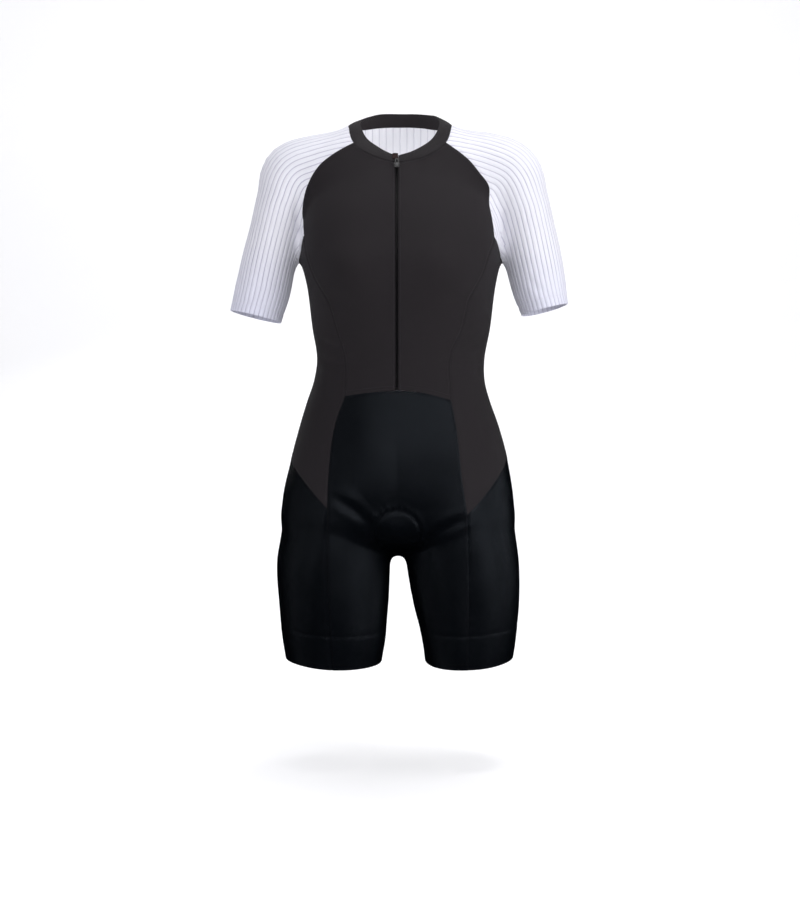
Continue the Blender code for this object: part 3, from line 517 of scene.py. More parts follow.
def cloth_grid(left, right, top, bottom, middle):
    """A grid of points on the form between four seams: left and right run down, top and bottom across."""
    rows, columns = len(left), len(top)
    level, angle, radius = middle.places(np.vstack([left[::-1], top[1:-1], right]))
    around = np.stack([level, np.unwrap(angle), radius], axis=1)
    west, north, east = around[:rows][::-1], around[rows - 1:rows + columns - 1], around[-rows:]
    level, angle, radius = middle.places(bottom)
    angle = np.unwrap(angle)
    south = np.stack([level, angle + (west[-1, 1] - angle[0]), radius], axis=1)
    down = np.linspace(0, 1, rows)[:, None, None]
    across = np.linspace(0, 1, columns)[None, :, None]
    ruled_across = (1 - across) * west[:, None] + across * east[:, None]
    ruled_down = (1 - down) * north[None] + down * south[None]
    twisted = (1 - down) * ((1 - across) * north[0] + across * north[-1])
    twisted = twisted + down * ((1 - across) * south[0] + across * south[-1])
    blend = (ruled_across + ruled_down - twisted).reshape(-1, 3)
    grid = seated(middle.points(*blend.T)).reshape(rows, columns, 3)
    grid[:, 0], grid[:, -1], grid[0], grid[-1] = left, right, top, bottom
    return smoothed(grid, GRID_ROUNDS)


# ---- the cut, coarse and fine ----
SIDE_DETAIL = 8  # fine steps in each step of a seam
NECK_DETAIL = 4  # and in those of the neck's side, whose steps are short


def detail_of(name):
    return NECK_DETAIL if name == "neck_side" else SIDE_DETAIL


def border(seams, names):
    """The seams named, end to end; a minus sign turns a seam round."""
    return joined(*[seams[name[1:]][::-1] if name[0] == "-" else seams[name] for name in names])


def fine_places(names):
    """Where the fine points of a border fall, counted in its coarse steps."""
    runs, start = [np.zeros(1)], 0
    for name in names:
        steps, detail = SEAMS[name.lstrip("-")][2], detail_of(name.lstrip("-"))
        runs.append(start + np.arange(1, steps * detail + 1) / detail)
        start += steps
    return np.concatenate(runs)


def finer(grid, rows, columns):
    """A grid read at fine rows and columns, on smooth curves through its coarse ones."""
    count, width = grid.shape[:2]
    tall = through(np.arange(count, dtype=float), grid.reshape(count, -1), rows)
    tall = tall.reshape(len(rows), width, 3)
    across = tall.transpose(1, 0, 2).reshape(width, -1)
    wide = through(np.arange(width, dtype=float), across, columns)
    return wide.reshape(len(columns), len(rows), 3).transpose(1, 0, 2)


def evened(grid):
    """The grid with each row's points spread along it as its first and last rows' points are."""
    runs = [length_along(grid[row]) for row in (0, -1)]
    shares = [run / run[-1] for run in runs]
    for number in range(1, len(grid) - 1):
        down = number / (len(grid) - 1)
        run = length_along(grid[number])
        wanted = run[-1] * ((1 - down) * shares[0] + down * shares[1])
        grid[number] = read_along(grid[number], run, wanted)
    return grid


def settled(grid):
    """The grid with its inner points spread evenly and drawn smooth on the form."""
    for _ in range(SETTLING[0]):
        grid = smoothed(evened(grid), SETTLING[1])
    return grid


def refined(coarse, fine, rows, columns, middle):
    """The grid between four fine edges, read at these places of the one between the same coarse edges."""
    grid = seated_grid(finer(cloth_grid(*coarse, middle), rows, columns))
    grid[:, 0], grid[:, -1], grid[0], grid[-1] = fine
    return grid


def fine_grid(side, left, right, top, bottom, middle):
    """A panel's fine grid between the seams named."""
    edges = (left, right, top, bottom)
    coarse, fine = ([border(cut[side], names) for names in edges] for cut in (CUT, FINE_CUT))
    return refined(coarse, fine, fine_places(left), fine_places(top), middle)


def cuff_step(table):
    """The step of the arm's middle line at which its sleeve ends."""
    run = length_along(np.array(table, float)[:, :3])
    return ARM_STEPS * run[CUFF_ROW] / run[-1]


def bicep_line(side, middle):
    """The fine line round an arm, from one armhole seam's start over the arm to the other's."""
    ends = np.stack([FINE_CUT[side][name][0] for name in ("armhole_front", "armhole_back")])
    share = np.linspace(0, 1, BICEP_STEPS * NECK_DETAIL + 1)
    line = seated(middle.points(*((1 - share) * pair[0] + share * pair[1] for pair in middle.places(ends))))
    line[[0, -1]] = ends
    for _ in range(BICEP_ROUNDING):
        line[1:-1] = seated((line[:-2] + line[2:]) / 2, 2)
    run = length_along(line)
    line = read_along(line, run, share * run[-1])
    line[1:-1] = seated(line[1:-1], 3)
    return line


@functools.cache
def sleeve_grids(side):
    """The sleeve in two fine grids: from the neck to a line round the arm, and the tube below it."""
    middle = ArmMiddle(side)
    end = cuff_step(ARM_RIGHT if side == RIGHT else ARM_LEFT)
    bicep = bicep_line(side, middle)
    cuts = ((CUT[side], bicep[::NECK_DETAIL]), (FINE_CUT[side], bicep))
    edges = [(cut["raglan_front"], cut["raglan_back"], cut["neck_side"], line) for cut, line in cuts]
    upper = refined(*edges, fine_places(["raglan_front"]), fine_places(["neck_side"]), middle)

    mouths = [joined(cut["armhole_front"][::-1], line, cut["armhole_back"]) for cut, line in cuts]
    start = middle.places(CUT[side]["armhole_front"][-1:])[0][0]
    turns = np.linspace(-math.pi, math.pi, len(mouths[0]))
    front_steps = SEAMS["armhole_front"][2]
    columns = np.concatenate([
        np.arange(0, front_steps, 1 / SIDE_DETAIL),
        front_steps + np.arange(0, BICEP_STEPS, 1 / NECK_DETAIL),
        front_steps + BICEP_STEPS + np.arange(0, front_steps + 0.01, 1 / SIDE_DETAIL)])
    rows = np.arange(0, UNDERARM_STEPS + 0.01, 1 / SIDE_DETAIL)
    fine_turns = np.interp(columns, np.arange(len(turns)), turns)
    edges = []
    for mouth, count, turn in zip(mouths, (UNDERARM_STEPS, len(rows) - 1), (turns, fine_turns)):
        fall = np.linspace(start, end, count + 1)
        underarm = seated(middle.points(fall, np.full(len(fall), math.pi), np.full(len(fall), 40.0)))
        underarm[0] = mouth[0]
        cuff = seated(middle.points(np.full(len(turn), end), turn, np.full(len(turn), 42.0)))
        cuff[0] = cuff[-1] = underarm[-1]
        edges.append((underarm, underarm, mouth, cuff))
    return settled(upper), settled(refined(*edges, rows, columns, middle))


def collar_grid(seams):
    """The collar's outer face and its ways out, a column for each step round the neck, top edge first."""
    halves_of_ring = [joined(s["neck_front"], s["neck_side"], s["neck_back"]) for s in seams.values()]
    ring = joined(halves_of_ring[0], halves_of_ring[1][::-1])
    run = length_along(ring)
    share = 1 - np.abs(1 - 2 * run / run[-1])
    table = np.array(COLLAR)
    rise = through(table[:, 0], table[:, 1:], share)
    rise[:, 0] *= np.where(run < run[-1] / 2, 1, -1)
    top = ring + rise
    for _ in range(COLLAR_ROUNDING):
        top[1:-1] = (top[:-2] + 2 * top[1:-1] + top[2:]) / 4
    rise = top - ring
    up = np.linspace(0, 1, COLLAR_FINE_ROWS + 1)[:, None] + np.zeros(len(ring))
    way = unit(np.cross(rise, np.gradient(ring, axis=0)))
    crown = COLLAR_CROWN * 4 * up * (1 - up) * np.minimum(share / 0.1, 1)
    grid = ring + rise * up[..., None] + way * crown[..., None]
    ways = np.repeat(way[None], COLLAR_FINE_ROWS + 1, axis=0)
    ways[0] = outward_ways(ring)
    ways[1] = unit(ways[0] + ways[2])
    return grid[::-1, ::-1], ways[::-1, ::-1]


CUT = {side: seams_of(side, 1) for side in (RIGHT, LEFT)}
FINE_CUT = {side: seams_of(side, 0) for side in (RIGHT, LEFT)}


# ---- relief of the worn cloth ----
UNSEAMED = ("front_edge", "fly", "centre_back", "hem_front", "hem_side", "hem_seat")
HEMS = ("hem_front", "hem_side", "hem_seat")
# Creases: how deep, how wide from the middle to the shoulder, and the points they run through.
# Columns: deep, wide, points.
CREASES = (
    (3.0, 5.0, ((-145, -38, -99), (-152, -35, -119), (-153, -32, -133), (-150, -22, -156),
                (-149, -13, -178))),
    (2.6, 4.5, ((150, -29, -128), (150, -27, -150), (150, -22, -172), (150, -14, -192))),
    (1.8, 7.5, ((-101, -92, -540), (-72, -97, -557), (-49, -95, -578), (-38, -90, -593))),
    (1.9, 7.5, ((97, -93, -572), (73, -94, -584), (52, -88, -596), (32, -69, -619))),
    (1.2, 7.0, ((-122, -50, -318), (-104, -70, -326), (-84, -84, -330))),
    (1.0, 7.0, ((-126, -40, -345), (-106, -66, -350), (-84, -80, -352))),
    (1.2, 7.0, ((122, -50, -322), (104, -70, -330), (84, -84, -334))),
    (1.0, 7.0, ((126, -40, -348), (106, -66, -353), (84, -80, -356))),
    (1.0, 9.0, ((-118, -70, -262), (-96, -90, -257), (-66, -106, -257))),
    (1.0, 9.0, ((112, -80, -262), (92, -94, -257), (60, -108, -257))),
    (1.3, 6.0, ((-202, -42, -226), (-212, -42, -250), (-226, -34, -262))),
    (1.1, 6.0, ((190, -36, -222), (203, -43, -240), (220, -40, -250))),
)
CREASE_STEPS = 49  # straight steps that a crease is taken in
# Outline of the seat pad through the cloth.
# Columns: x, z, radius, wide, deep, gathers.
PAD_RING = (-3.6, -595, 33.0, 2.6, 1.05, 26)


def tree_of(paths):
    points = np.vstack(paths)
    tree = KDTree(len(points))
    for number, point in enumerate(points):
        tree.insert(point, number)
    tree.balance()
    return tree


@functools.cache
def edge_trees():
    """Search trees of the sewn seams, of the leg hems and of the cuffs."""
    sewn = [curve for cut in FINE_CUT.values() for name, curve in cut.items() if name not in UNSEAMED]
    hems = [cut[name] for cut in FINE_CUT.values() for name in HEMS]
    return tree_of(sewn), tree_of(hems), tree_of([sleeve_grids(side)[1][-1] for side in (RIGHT, LEFT)])


def ridge(distance, wide):
    return np.exp(-((distance / wide) ** 2))


def crease_relief(p, ways):
    """Depth of the creases, only where the cloth faces the way that the crease does."""
    height = np.zeros(len(p))
    for deep, wide, points in CREASES:
        marks = seated(np.array(points, float))
        run = length_along(marks)
        path = through(run, marks, np.linspace(0, run[-1], CREASE_STEPS + 1))
        facing = outward_ways(path)
        near = np.flatnonzero((np.abs(p - path.mean(0)) < 40 + run[-1] / 2).all(1))
        away = np.linalg.norm(p[near, None] - path[None], axis=2)
        nearest = away.argmin(1)
        fade = np.sin(np.pi * (0.06 + 0.88 * nearest / CREASE_STEPS)) ** 0.8
        fade *= np.clip(((ways[near] * facing[nearest]).sum(1) - 0.1) / 0.5, 0, 1)
        distance = away.min(1)
        height[near] += fade * deep * (0.35 * ridge(distance - 1.7 * wide, wide) - ridge(distance, wide))
    return height


def relief(p, ways):
    """How far the cloth stands out from the smooth form, in millimetres; ways point out of it."""
    seam, hem, cuff = (np.array([tree.find(q)[2] for q in p]) for tree in edge_trees())
    settings = bpy.context.scene.suit_cloth
    hem_depth, cuff_depth = settings.hem_depth / MM, settings.cuff_depth / MM
    ripple = np.array([noise.noise(Vector(q) / 7) for q in p])
    height = settings.unevenness / MM * np.array([noise.noise(Vector(q) / 48) for q in p])
    height += settings.seam_depth / MM * (0.4 * ridge(seam - 4, 2.5) - ridge(seam, 1.5))
    height += 0.35 * ripple * ridge(seam, 5)
    height += 0.25 * (hem < hem_depth) - 0.5 * ridge(hem - hem_depth, 1.6)
    height += 0.3 * (cuff < cuff_depth) - 0.5 * ridge(cuff - cuff_depth, 1.5)
    height += 0.3 * ripple * (ridge(hem - hem_depth, 6) + ridge(cuff - cuff_depth, 6))
    front = (p[:, 1] < 0) & (p[:, 2] > ZIP_Z[0]) & (p[:, 2] < ZIP_Z[1])
    zip_side = np.where(front, np.abs(p[:, 0] - ZIP_X) - ZIP_HALF_SLOT, 90)
    zip_row = zip_side - settings.zip_stitch / MM
    height -= 0.45 * ridge(zip_side, 1.2) + (0.3 + 0.2 * ripple) * ridge(zip_row, 1.3)
    x, z, radius, wide, deep, gathers = PAD_RING
    off, turn = np.hypot(p[:, 0] - x, p[:, 2] - z) - radius, np.arctan2(p[:, 2] - z, p[:, 0] - x)
    pad = 0.4 * ridge(off + 2.4 * wide, 1.6 * wide) + 0.3 * ridge(off - 2.2 * wide, wide) - ridge(off, wide)
    pad += 0.22 * ridge(off - 7, 6) * np.cos(gathers * turn + 3 * ripple)
    height += deep * pad * (p[:, 1] < -15)
    return settings.crease * crease_relief(p, ways) + height


# ---- cloth panels ----
INSIDE_LINES = 1.8  # the pinstripes show this many times thinner on the inside
RATE_STEPS = 6  # steps over which the distance of a sleeve's lines is read
CUT_SHARE, CUT_AREA_SHARE = 1.02, 1.04  # worn cloth is this many times as long, and as large, as it was cut
SAME_POINT = 0.002  # points this close are one
SHARP = math.radians(50)  # edges sharper than this, as at a rim, aren't shaded smooth


def step_lengths(grid):
    """The length of each step along each row of a grid."""
    return np.linalg.norm(np.diff(grid, axis=1), axis=2)


def run_across(grid):
    """How far along its row each point of a grid is."""
    return np.concatenate([np.zeros((len(grid), 1)), step_lengths(grid).cumsum(1)], axis=1)


def quads_of(grid):
    """The quads between the points of a grid, which are numbered row by row."""
    index = np.arange(grid.shape[0] * grid.shape[1]).reshape(grid.shape[:2])
    return np.stack([index[:-1, :-1], index[1:, :-1], index[1:, 1:], index[:-1, 1:]], -1).reshape(-1, 4)


def faced_out(grid):
    """The grid, turned left for right if its quads would face into the suit."""
    row, column = len(grid) // 2, grid.shape[1] // 2
    down, across = grid[row + 1, column] - grid[row, column], grid[row, column + 1] - grid[row, column]
    facing = np.cross(down, across) @ outward_ways(grid[row, column][None])[0]
    return grid if facing > 0 else grid[:, ::-1]


def spread_flat(grid):
    """Cloth coordinates of a grid in metres: across from its middle column, and down along it."""
    across = run_across(grid)
    middle = grid.shape[1] // 2
    down = np.repeat(length_along(grid[:, middle])[:, None], grid.shape[1], 1)
    return np.stack([across - across[:, middle:middle + 1], down], 2) * MM


def spaced(grid, count):
    """Pinstripe coordinates: which line a point is at, and how far apart the lines are there in metres."""
    step = np.linalg.norm(np.gradient(grid, axis=1), axis=2)
    spacing = step / np.abs(np.gradient(count, axis=1)).clip(1e-4)
    return np.stack([count, spacing.clip(3, 12) * MM], 2)


def lines_of_back(grid):
    return spaced(grid, grid[..., 0] * MM / bpy.context.scene.suit_cloth.line_spacing)


def lines_of_sleeve(grid):
    """Lines along the arm, counted by the angle round it, so that they draw together at the neck."""
    side = RIGHT if grid[0, 0, 0] < 0 else LEFT
    _, out, back, _, _ = arm_places(grid.reshape(-1, 3), side)
    raw = np.arctan2(back, out).reshape(grid.shape[:2])
    turn = np.unwrap(raw, axis=1)
    middle = grid.shape[1] // 2
    turn += (raw - turn)[:, middle:middle + 1]
    hole = SEAMS["armhole_front"][2] * SIDE_DETAIL
    tube = grid.shape[1] > 2 * hole + 10
    edge = hole if tube else 0
    start = edge + VALLEY_STEPS
    end = start + RATE_STEPS
    for way in (1, -1):  # beside the seams the lines run on at an even distance
        line, run = turn[:, ::way], run_across(grid[:, ::way])
        rate = (line[:, end] - line[:, start]) / (run[:, end] - run[:, start])
        line[:, edge:start] = line[:, [start]] - rate[:, None] * (run[:, [start]] - run[:, edge:start])
    if tube:  # below the armhole the lines run straight down
        share = np.linspace(0, 1, hole + 1)
        ends = np.copysign(math.pi, turn[:, [0, -1]].mean(0))
        turn[:, :hole + 1] = ends[0] + share * (turn[:, hole:hole + 1] - ends[0])
        turn[:, -hole - 1:] = ends[1] + share[::-1] * (turn[:, -hole - 1][:, None] - ends[1])
    return spaced(grid, turn / (2 * np.pi) * bpy.context.scene.suit_cloth.sleeve_lines)


def border_of(quads):
    """The directed border edges of the quads."""
    edges = np.stack([quads, np.roll(quads, -1, axis=1)], 2).reshape(-1, 2)
    known = set(map(tuple, edges.tolist()))
    return np.array([edge for edge in edges.tolist() if (edge[1], edge[0]) not in known])


def lay_map(mesh, name, corners, quads, rim, count):
    """A UV map from a pair of values for each corner of the outer quads."""
    rest = np.zeros((count, 2))
    rest[quads.reshape(-1)] = corners.reshape(-1, 2)
    inside = corners[:, ::-1] * ((1, INSIDE_LINES) if name == "lines" else 1)
    laid = np.vstack([corners.reshape(-1, 2), inside.reshape(-1, 2), rest[rim.reshape(-1) % count]])
    mesh.uv_layers.new(name=name).data.foreach_set("uv", laid.reshape(-1))


def sewn_wall(name, outer, inner, quads, maps, finish):
    """A closed cloth wall between two layers of the same quads; maps give each corner a pair of values."""
    count = len(outer)
    border = border_of(quads)
    rim = np.stack([border[:, 1], border[:, 0], count + border[:, 0], count + border[:, 1]], 1)
    mesh = bpy.data.meshes.new(name)
    faces = np.vstack([quads, count + quads[:, ::-1], rim])
    mesh.from_pydata((np.vstack([outer, inner]) * MM).tolist(), [], faces.tolist())
    for kind, corners in maps.items():
        lay_map(mesh, kind, corners, quads, rim, count)
    mesh.materials.append(finish)
    mesh.shade_smooth()
    mesh.set_sharp_from_angle(angle=SHARP)
    made = bpy.data.objects.new(name, mesh)
    bpy.context.scene.collection.objects.link(made)
    return made


def sewn_band(name, grid, ways, thick, finish):
    """A wall of one thickness from the grid of its outer face and the ways out of it."""
    quads, outer = quads_of(grid), grid.reshape(-1, 3)
    maps = {"cloth": spread_flat(grid).reshape(-1, 2)[quads]}
    return sewn_wall(name, outer, outer - thick * ways.reshape(-1, 3), quads, maps, finish)


def placed(made, part, node):
    """The finished piece rides on a part of the suit and stands for its node."""
    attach(made, part)
    if node:
        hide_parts(node)
    return made


def declared(made, node, width, length):
    """The finished cloth piece, placed, says how it was cut."""
    area = sum(face.area for face in made.data.polygons) / 2 / CUT_AREA_SHARE
    width, length = width * MM / CUT_SHARE, length * MM / CUT_SHARE
    placed(made, "suit", node)
    length = max(length, area / width * CUT_SHARE)
    print(f"cut {node}: {width * 1000:.0f} x {length * 1000:.0f} mm, {area * 1e4:.0f} cm2")
    return made


def sew_panel(node, grids, finish, lines=None):
    """One panel of the suit from its fine grids, with its relief and its wall."""
    grids = [faced_out(grid) for grid in grids]
    layouts = {"cloth": spread_flat, "lines": lines} if lines else {"cloth": spread_flat}
    points, quads, start = [], [], 0
    maps = {kind: [] for kind in layouts}
    for grid in grids:
        quad = quads_of(grid)
        points.append(grid.reshape(-1, 3))
        quads.append(start + quad)
        for kind, layout in layouts.items():
            maps[kind].append(layout(grid).reshape(-1, 2)[quad])
        start += grid.size // 3
    points, quads = np.vstack(points), np.vstack(quads)
    places = np.round(points / SAME_POINT)
    _, first, same = np.unique(places, axis=0, return_index=True, return_inverse=True)
    points, quads = points[first], same.reshape(-1)[quads]
    ways = outward_ways(points)
    outer = points + relief(points, ways)[:, None] * ways
    inner = outer - bpy.context.scene.suit_cloth.thickness / MM * ways
    maps = {kind: np.vstack(corners) for kind, corners in maps.items()}
    made = sewn_wall(node + "_cloth", outer, inner, quads, maps, finish)
    widths = [step_lengths(grid).sum(1).max() for grid in grids]
    if len({grid.shape for grid in grids}) == 2:  # a sleeve: its upper part, and the tube below it
        length = sum(length_along(grid[:, grid.shape[1] // 2])[-1] for grid in grids)
        return declared(made, node, widths[1], length)
    length = max(length_along(grid[:, column])[-1] for grid in grids for column in (0, -1))
    return declared(made, node, len(grids) * widths[0], length)


# ---- finishes ----
class Finish:
    """A procedural material in the making: its shader, and short ways to add nodes and link them."""

    def __init__(self, name, **uniform):
        self.made = bpy.data.materials.new(name)
        self.made.use_nodes = True
        self.tree = self.made.node_tree
        self.shader = self.tree.nodes["Principled BSDF"]
        for socket, value in uniform.items():
            self.shader.inputs[socket.replace("_", " ")].default_value = value

    def add(self, kind, inputs, out=0, **settings):
        """A node with its inputs set or linked; the output of this number comes back."""
        node = self.tree.nodes.new("ShaderNode" + kind)
        for name, value in settings.items():
            setattr(node, name, value)
        for socket, value in inputs.items():
            self.join(value, node.inputs[socket])
        return node.outputs[out]

    def join(self, value, socket):
        if isinstance(value, bpy.types.NodeSocket):
            self.tree.links.new(value, socket)
        else:
            socket.default_value = value

    def math(self, operation, *values):
        return self.add("Math", dict(enumerate(values)), operation=operation)

    def mix(self, share, first, second):
        inputs = {0: share, 6: first, 7: second}
        return self.add("Mix", inputs, out=2, data_type="RGBA")

    def noise(self, vector, scale, detail=2.0, roughness=0.5):
        inputs = {"Vector": vector, "Scale": scale, "Detail": detail, "Roughness": roughness}
        return self.add("TexNoise", inputs)

    def parts(self, vector):
        """The three values of a vector."""
        node = self.tree.nodes.new("ShaderNodeSeparateXYZ")
        self.tree.links.new(vector, node.inputs[0])
        return tuple(node.outputs)

    def cloth(self, name="cloth"):
        """A UV map of the cloth as a vector."""
        return self.add("UVMap", {}, uv_map=name)

    def place(self):
        return self.add("TexCoord", {}, out=3)

    def times(self, first, second):
        return self.math("MULTIPLY", first, second)

    def between(self, value, low, high, start=0.0, end=1.0, **settings):
        """Start where the value is low, end where it is high, and in between where it is."""
        return self.add("MapRange", {0: value, 1: low, 2: high, 3: start, 4: end}, **settings)

    def knit(self, wale, course):
        """Height of a knit: columns of small slanted loops, a wale apart and a course tall."""
        across, down, _ = self.parts(self.cloth())
        rows = self.math("DIVIDE", down, course)
        lean = self.math("PINGPONG", rows, 0.5)
        column = self.math("ADD", self.math("DIVIDE", across, wale), self.times(lean, 0.5))
        loops = self.math("SINE", self.times(column, 2 * math.pi))
        rows = self.math("SINE", self.times(rows, 4 * math.pi))
        return self.math("ADD", self.times(loops, 0.6), self.times(rows, 0.4))

    def bump(self, height, distance, **under):
        return self.add("Bump", {"Height": height, "Distance": distance, "Strength": 1.0, **under})

    def rough(self, pattern, spread, least):
        """Roughness from least upwards, with a pattern from 0 to 1."""
        return self.math("ADD", self.times(pattern, spread), least)

    def finished(self, **inputs):
        """The material, once these inputs of its shader are linked."""
        for socket, value in inputs.items():
            self.join(value, self.shader.inputs[socket.replace("_", " ")])
        return self.made


def rgb(colour, share=1.0):
    return (*[channel * share for channel in colour], 1.0)


@functools.cache
def charcoal_jersey():
    colour = bpy.context.scene.suit_cloth.charcoal
    made = Finish("charcoal_jersey", Sheen_Weight=0.04, Sheen_Roughness=0.4, Specular_IOR_Level=0.16)
    patches = made.noise(made.place(), 14.0, 3.0)
    heather = made.noise(made.cloth(), 900.0)
    tone = made.mix(made.times(patches, 0.5), rgb(colour, 0.9), rgb(colour, 1.25))
    tone = made.mix(made.times(heather, 0.5), tone, rgb(colour, 1.5))
    return made.finished(Base_Color=tone, Roughness=made.rough(patches, 0.12, 0.62),
                         Normal=made.bump(made.knit(0.0011, 0.0009), 0.00012))


@functools.cache
def blue_black_lycra():
    colour = bpy.context.scene.suit_cloth.blue_black
    made = Finish("blue_black_lycra", Specular_IOR_Level=0.32, Specular_Tint=(0.76, 0.85, 1, 1))
    patches = made.noise(made.place(), 11.0, 3.0)
    tone = made.mix(patches, rgb(colour, 0.8), rgb(colour, 1.3))
    return made.finished(Base_Color=tone, Roughness=made.rough(patches, 0.12, 0.27),
                         Normal=made.bump(made.knit(0.0007, 0.0006), 0.00007))


@functools.cache
def pinstripe_white():
    settings = bpy.context.scene.suit_cloth
    made = Finish("pinstripe_white", Sheen_Weight=0.1, Sheen_Roughness=0.5, Specular_IOR_Level=0.3)
    flat = made.cloth()
    count, spacing, _ = made.parts(made.cloth("lines"))
    wander = made.times(made.math("SUBTRACT", made.noise(flat, 60.0), 0.5), 0.1)
    away = made.math("PINGPONG", made.math("ADD", count, wander), 0.5)
    half = settings.line_width / 2
    line = made.between(made.times(away, spacing), half * 0.4, half * 1.6, 1.0, 0.0,
                        interpolation_type="SMOOTHSTEP")
    line = made.times(line, made.between(made.noise(made.place(), 16.0), 0.3, 0.7, 0.45))
    patches = made.noise(made.place(), 12.0, 3.0)
    cloth = made.mix(patches, rgb(settings.white, 0.96), rgb(settings.white))
    # Painted shade: below the armpits the white darkens to lavender towards the cuffs, where the lower
    # sleeves lie in shade.
    x, _, z = made.parts(made.place())
    low = made.between(z, -0.31, -0.17, settings.cuff_shade_share, 0.0)
    arm = made.between(made.math("ABSOLUTE", x), 0.13, 0.16)
    cloth = made.mix(made.times(low, arm), cloth, rgb(settings.shade_lavender))
    colour = settings.line_colour
    yarn = made.mix(made.noise(flat, 1500.0), rgb(colour, 0.8), rgb(colour, 1.2))
    puff = made.bump(made.math("POWER", made.times(away, 2.0), 0.5), 0.0013)
    return made.finished(Base_Color=made.mix(line, cloth, yarn), Roughness=made.rough(patches, 0.1, 0.6),
                         Normal=made.bump(made.knit(0.0009, 0.0008), 0.00008, Normal=puff))


def studio_paper():
    stage = bpy.context.scene.suit_stage
    made = Finish("studio_paper", Roughness=0.9, Specular_IOR_Level=0.0, Emission_Color=(1, 1, 1, 1),
                  Emission_Strength=stage.glow)
    grain = made.noise(made.place(), 300.0)
    return made.finished(Base_Color=made.mix(grain, rgb(stage.floor, 0.99), rgb(stage.floor)))


# Columns: roughness, shine, dark, light.
THREADS = {
    "black_thread": (0.55, 0.35, (0.012, 0.011, 0.013), (0.035, 0.032, 0.037)),
    "dark_thread": (0.6, 0.15, (0.003, 0.003, 0.004), (0.009, 0.009, 0.012)),
    "white_thread": (0.5, 0.4, (0.62, 0.61, 0.67), (0.8, 0.79, 0.84)),
}


@functools.cache
def twisted(name):
    """A thread's finish."""
    roughness, shine, dark, light = THREADS[name]
    made = Finish(name, Roughness=roughness, Specular_IOR_Level=shine)
    return made.finished(Base_Color=made.mix(made.noise(made.place(), 2500.0), rgb(dark), rgb(light)))


@functools.cache
def satin_black():
    made = Finish("satin_black", Specular_IOR_Level=0.25, Coat_Weight=0.06, Coat_Roughness=0.25)
    wear = made.noise(made.place(), 220.0, 4.0)
    tone = made.mix(wear, (0.003, 0.003, 0.0035, 1), (0.009, 0.0085, 0.010, 1))
    return made.finished(Base_Color=tone, Roughness=made.rough(wear, 0.2, 0.28),
                         Normal=made.bump(made.noise(made.place(), 2600.0), 0.00003))


@functools.cache
def pull_grey():
    made = Finish("pull_grey", Specular_IOR_Level=0.35)
    grain = made.noise(made.place(), 3000.0, 3.0)
    tone = made.mix(grain, (0.036, 0.036, 0.038, 1), (0.058, 0.057, 0.060, 1))
    return made.finished(Base_Color=tone, Roughness=made.rough(grain, 0.15, 0.45),
                         Normal=made.bump(grain, 0.00004))


def woven(name, first, second, pitch, flat):
    """A diagonal weave of two close colours, on the flat cloth or upright in space."""
    made = Finish(name, Roughness=0.8, Specular_IOR_Level=0.2)
    across, deep, up = made.parts(made.cloth() if flat else made.place())
    down = deep if flat else up
    warp, weft = (made.math("SINE", made.times(made.math(sign, across, down), 2 * math.pi / pitch))
                  for sign in ("ADD", "SUBTRACT"))
    share = made.math("ADD", made.times(made.math("ADD", warp, made.times(weft, 0.5)), 0.33), 0.5)
    return made.finished(Base_Color=made.mix(share, rgb(first), rgb(second)),
                         Normal=made.bump(share, 0.00015))


@functools.cache
def garage_twill():
    return woven("garage_twill", (0.014, 0.007, 0.007), (0.034, 0.017, 0.016), 0.0008, True)


@functools.cache
def tape_weave():
    return woven("tape_weave", (0.004, 0.0035, 0.004), (0.012, 0.011, 0.012), 0.0011, False)


# ---- stitching ----
def stitch_shape(length, radius, sides=5):
    """Points and faces of one stitch: a small arched thread along +X, both ends in the cloth."""
    stations = ((0.16, 0.75), (0.5, 1.0), (0.84, 0.75))
    points = [(-length / 2, 0.0, -0.8 * radius)]
    for share, plump in stations:
        rise = 0.9 * radius * math.sin(math.pi * share)
        for k in range(sides):
            turn = 2 * math.pi * k / sides
            points.append((length * (share - 0.5), plump * radius * math.cos(turn),
                           rise + plump * radius * math.sin(turn) - 0.4 * radius))
    points.append((length / 2, 0.0, -0.8 * radius))
    faces, last = [], len(points) - 1
    for k in range(sides):
        after = (k + 1) % sides
        faces.append((0, 1 + after, 1 + k))
        for ring in range(len(stations) - 1):
            a, b = 1 + ring * sides, 1 + (ring + 1) * sides
            faces.append((a + k, a + after, b + after, b + k))
        a = 1 + (len(stations) - 1) * sides
        faces.append((a + k, a + after, last))
    return np.array(points), faces


def on_cloth(points):
    """The points moved onto the worn cloth, with the ways out of it."""
    points = seated(points, 4)
    ways = outward_ways(points)
    return points + relief(points, ways)[:, None] * ways, ways


def beside(curve, distance):
    """A line on the form at this distance from a seam, to the right of its run seen from outside."""
    return curve + distance * unit(np.cross(np.gradient(curve, axis=0), outward_ways(curve)))


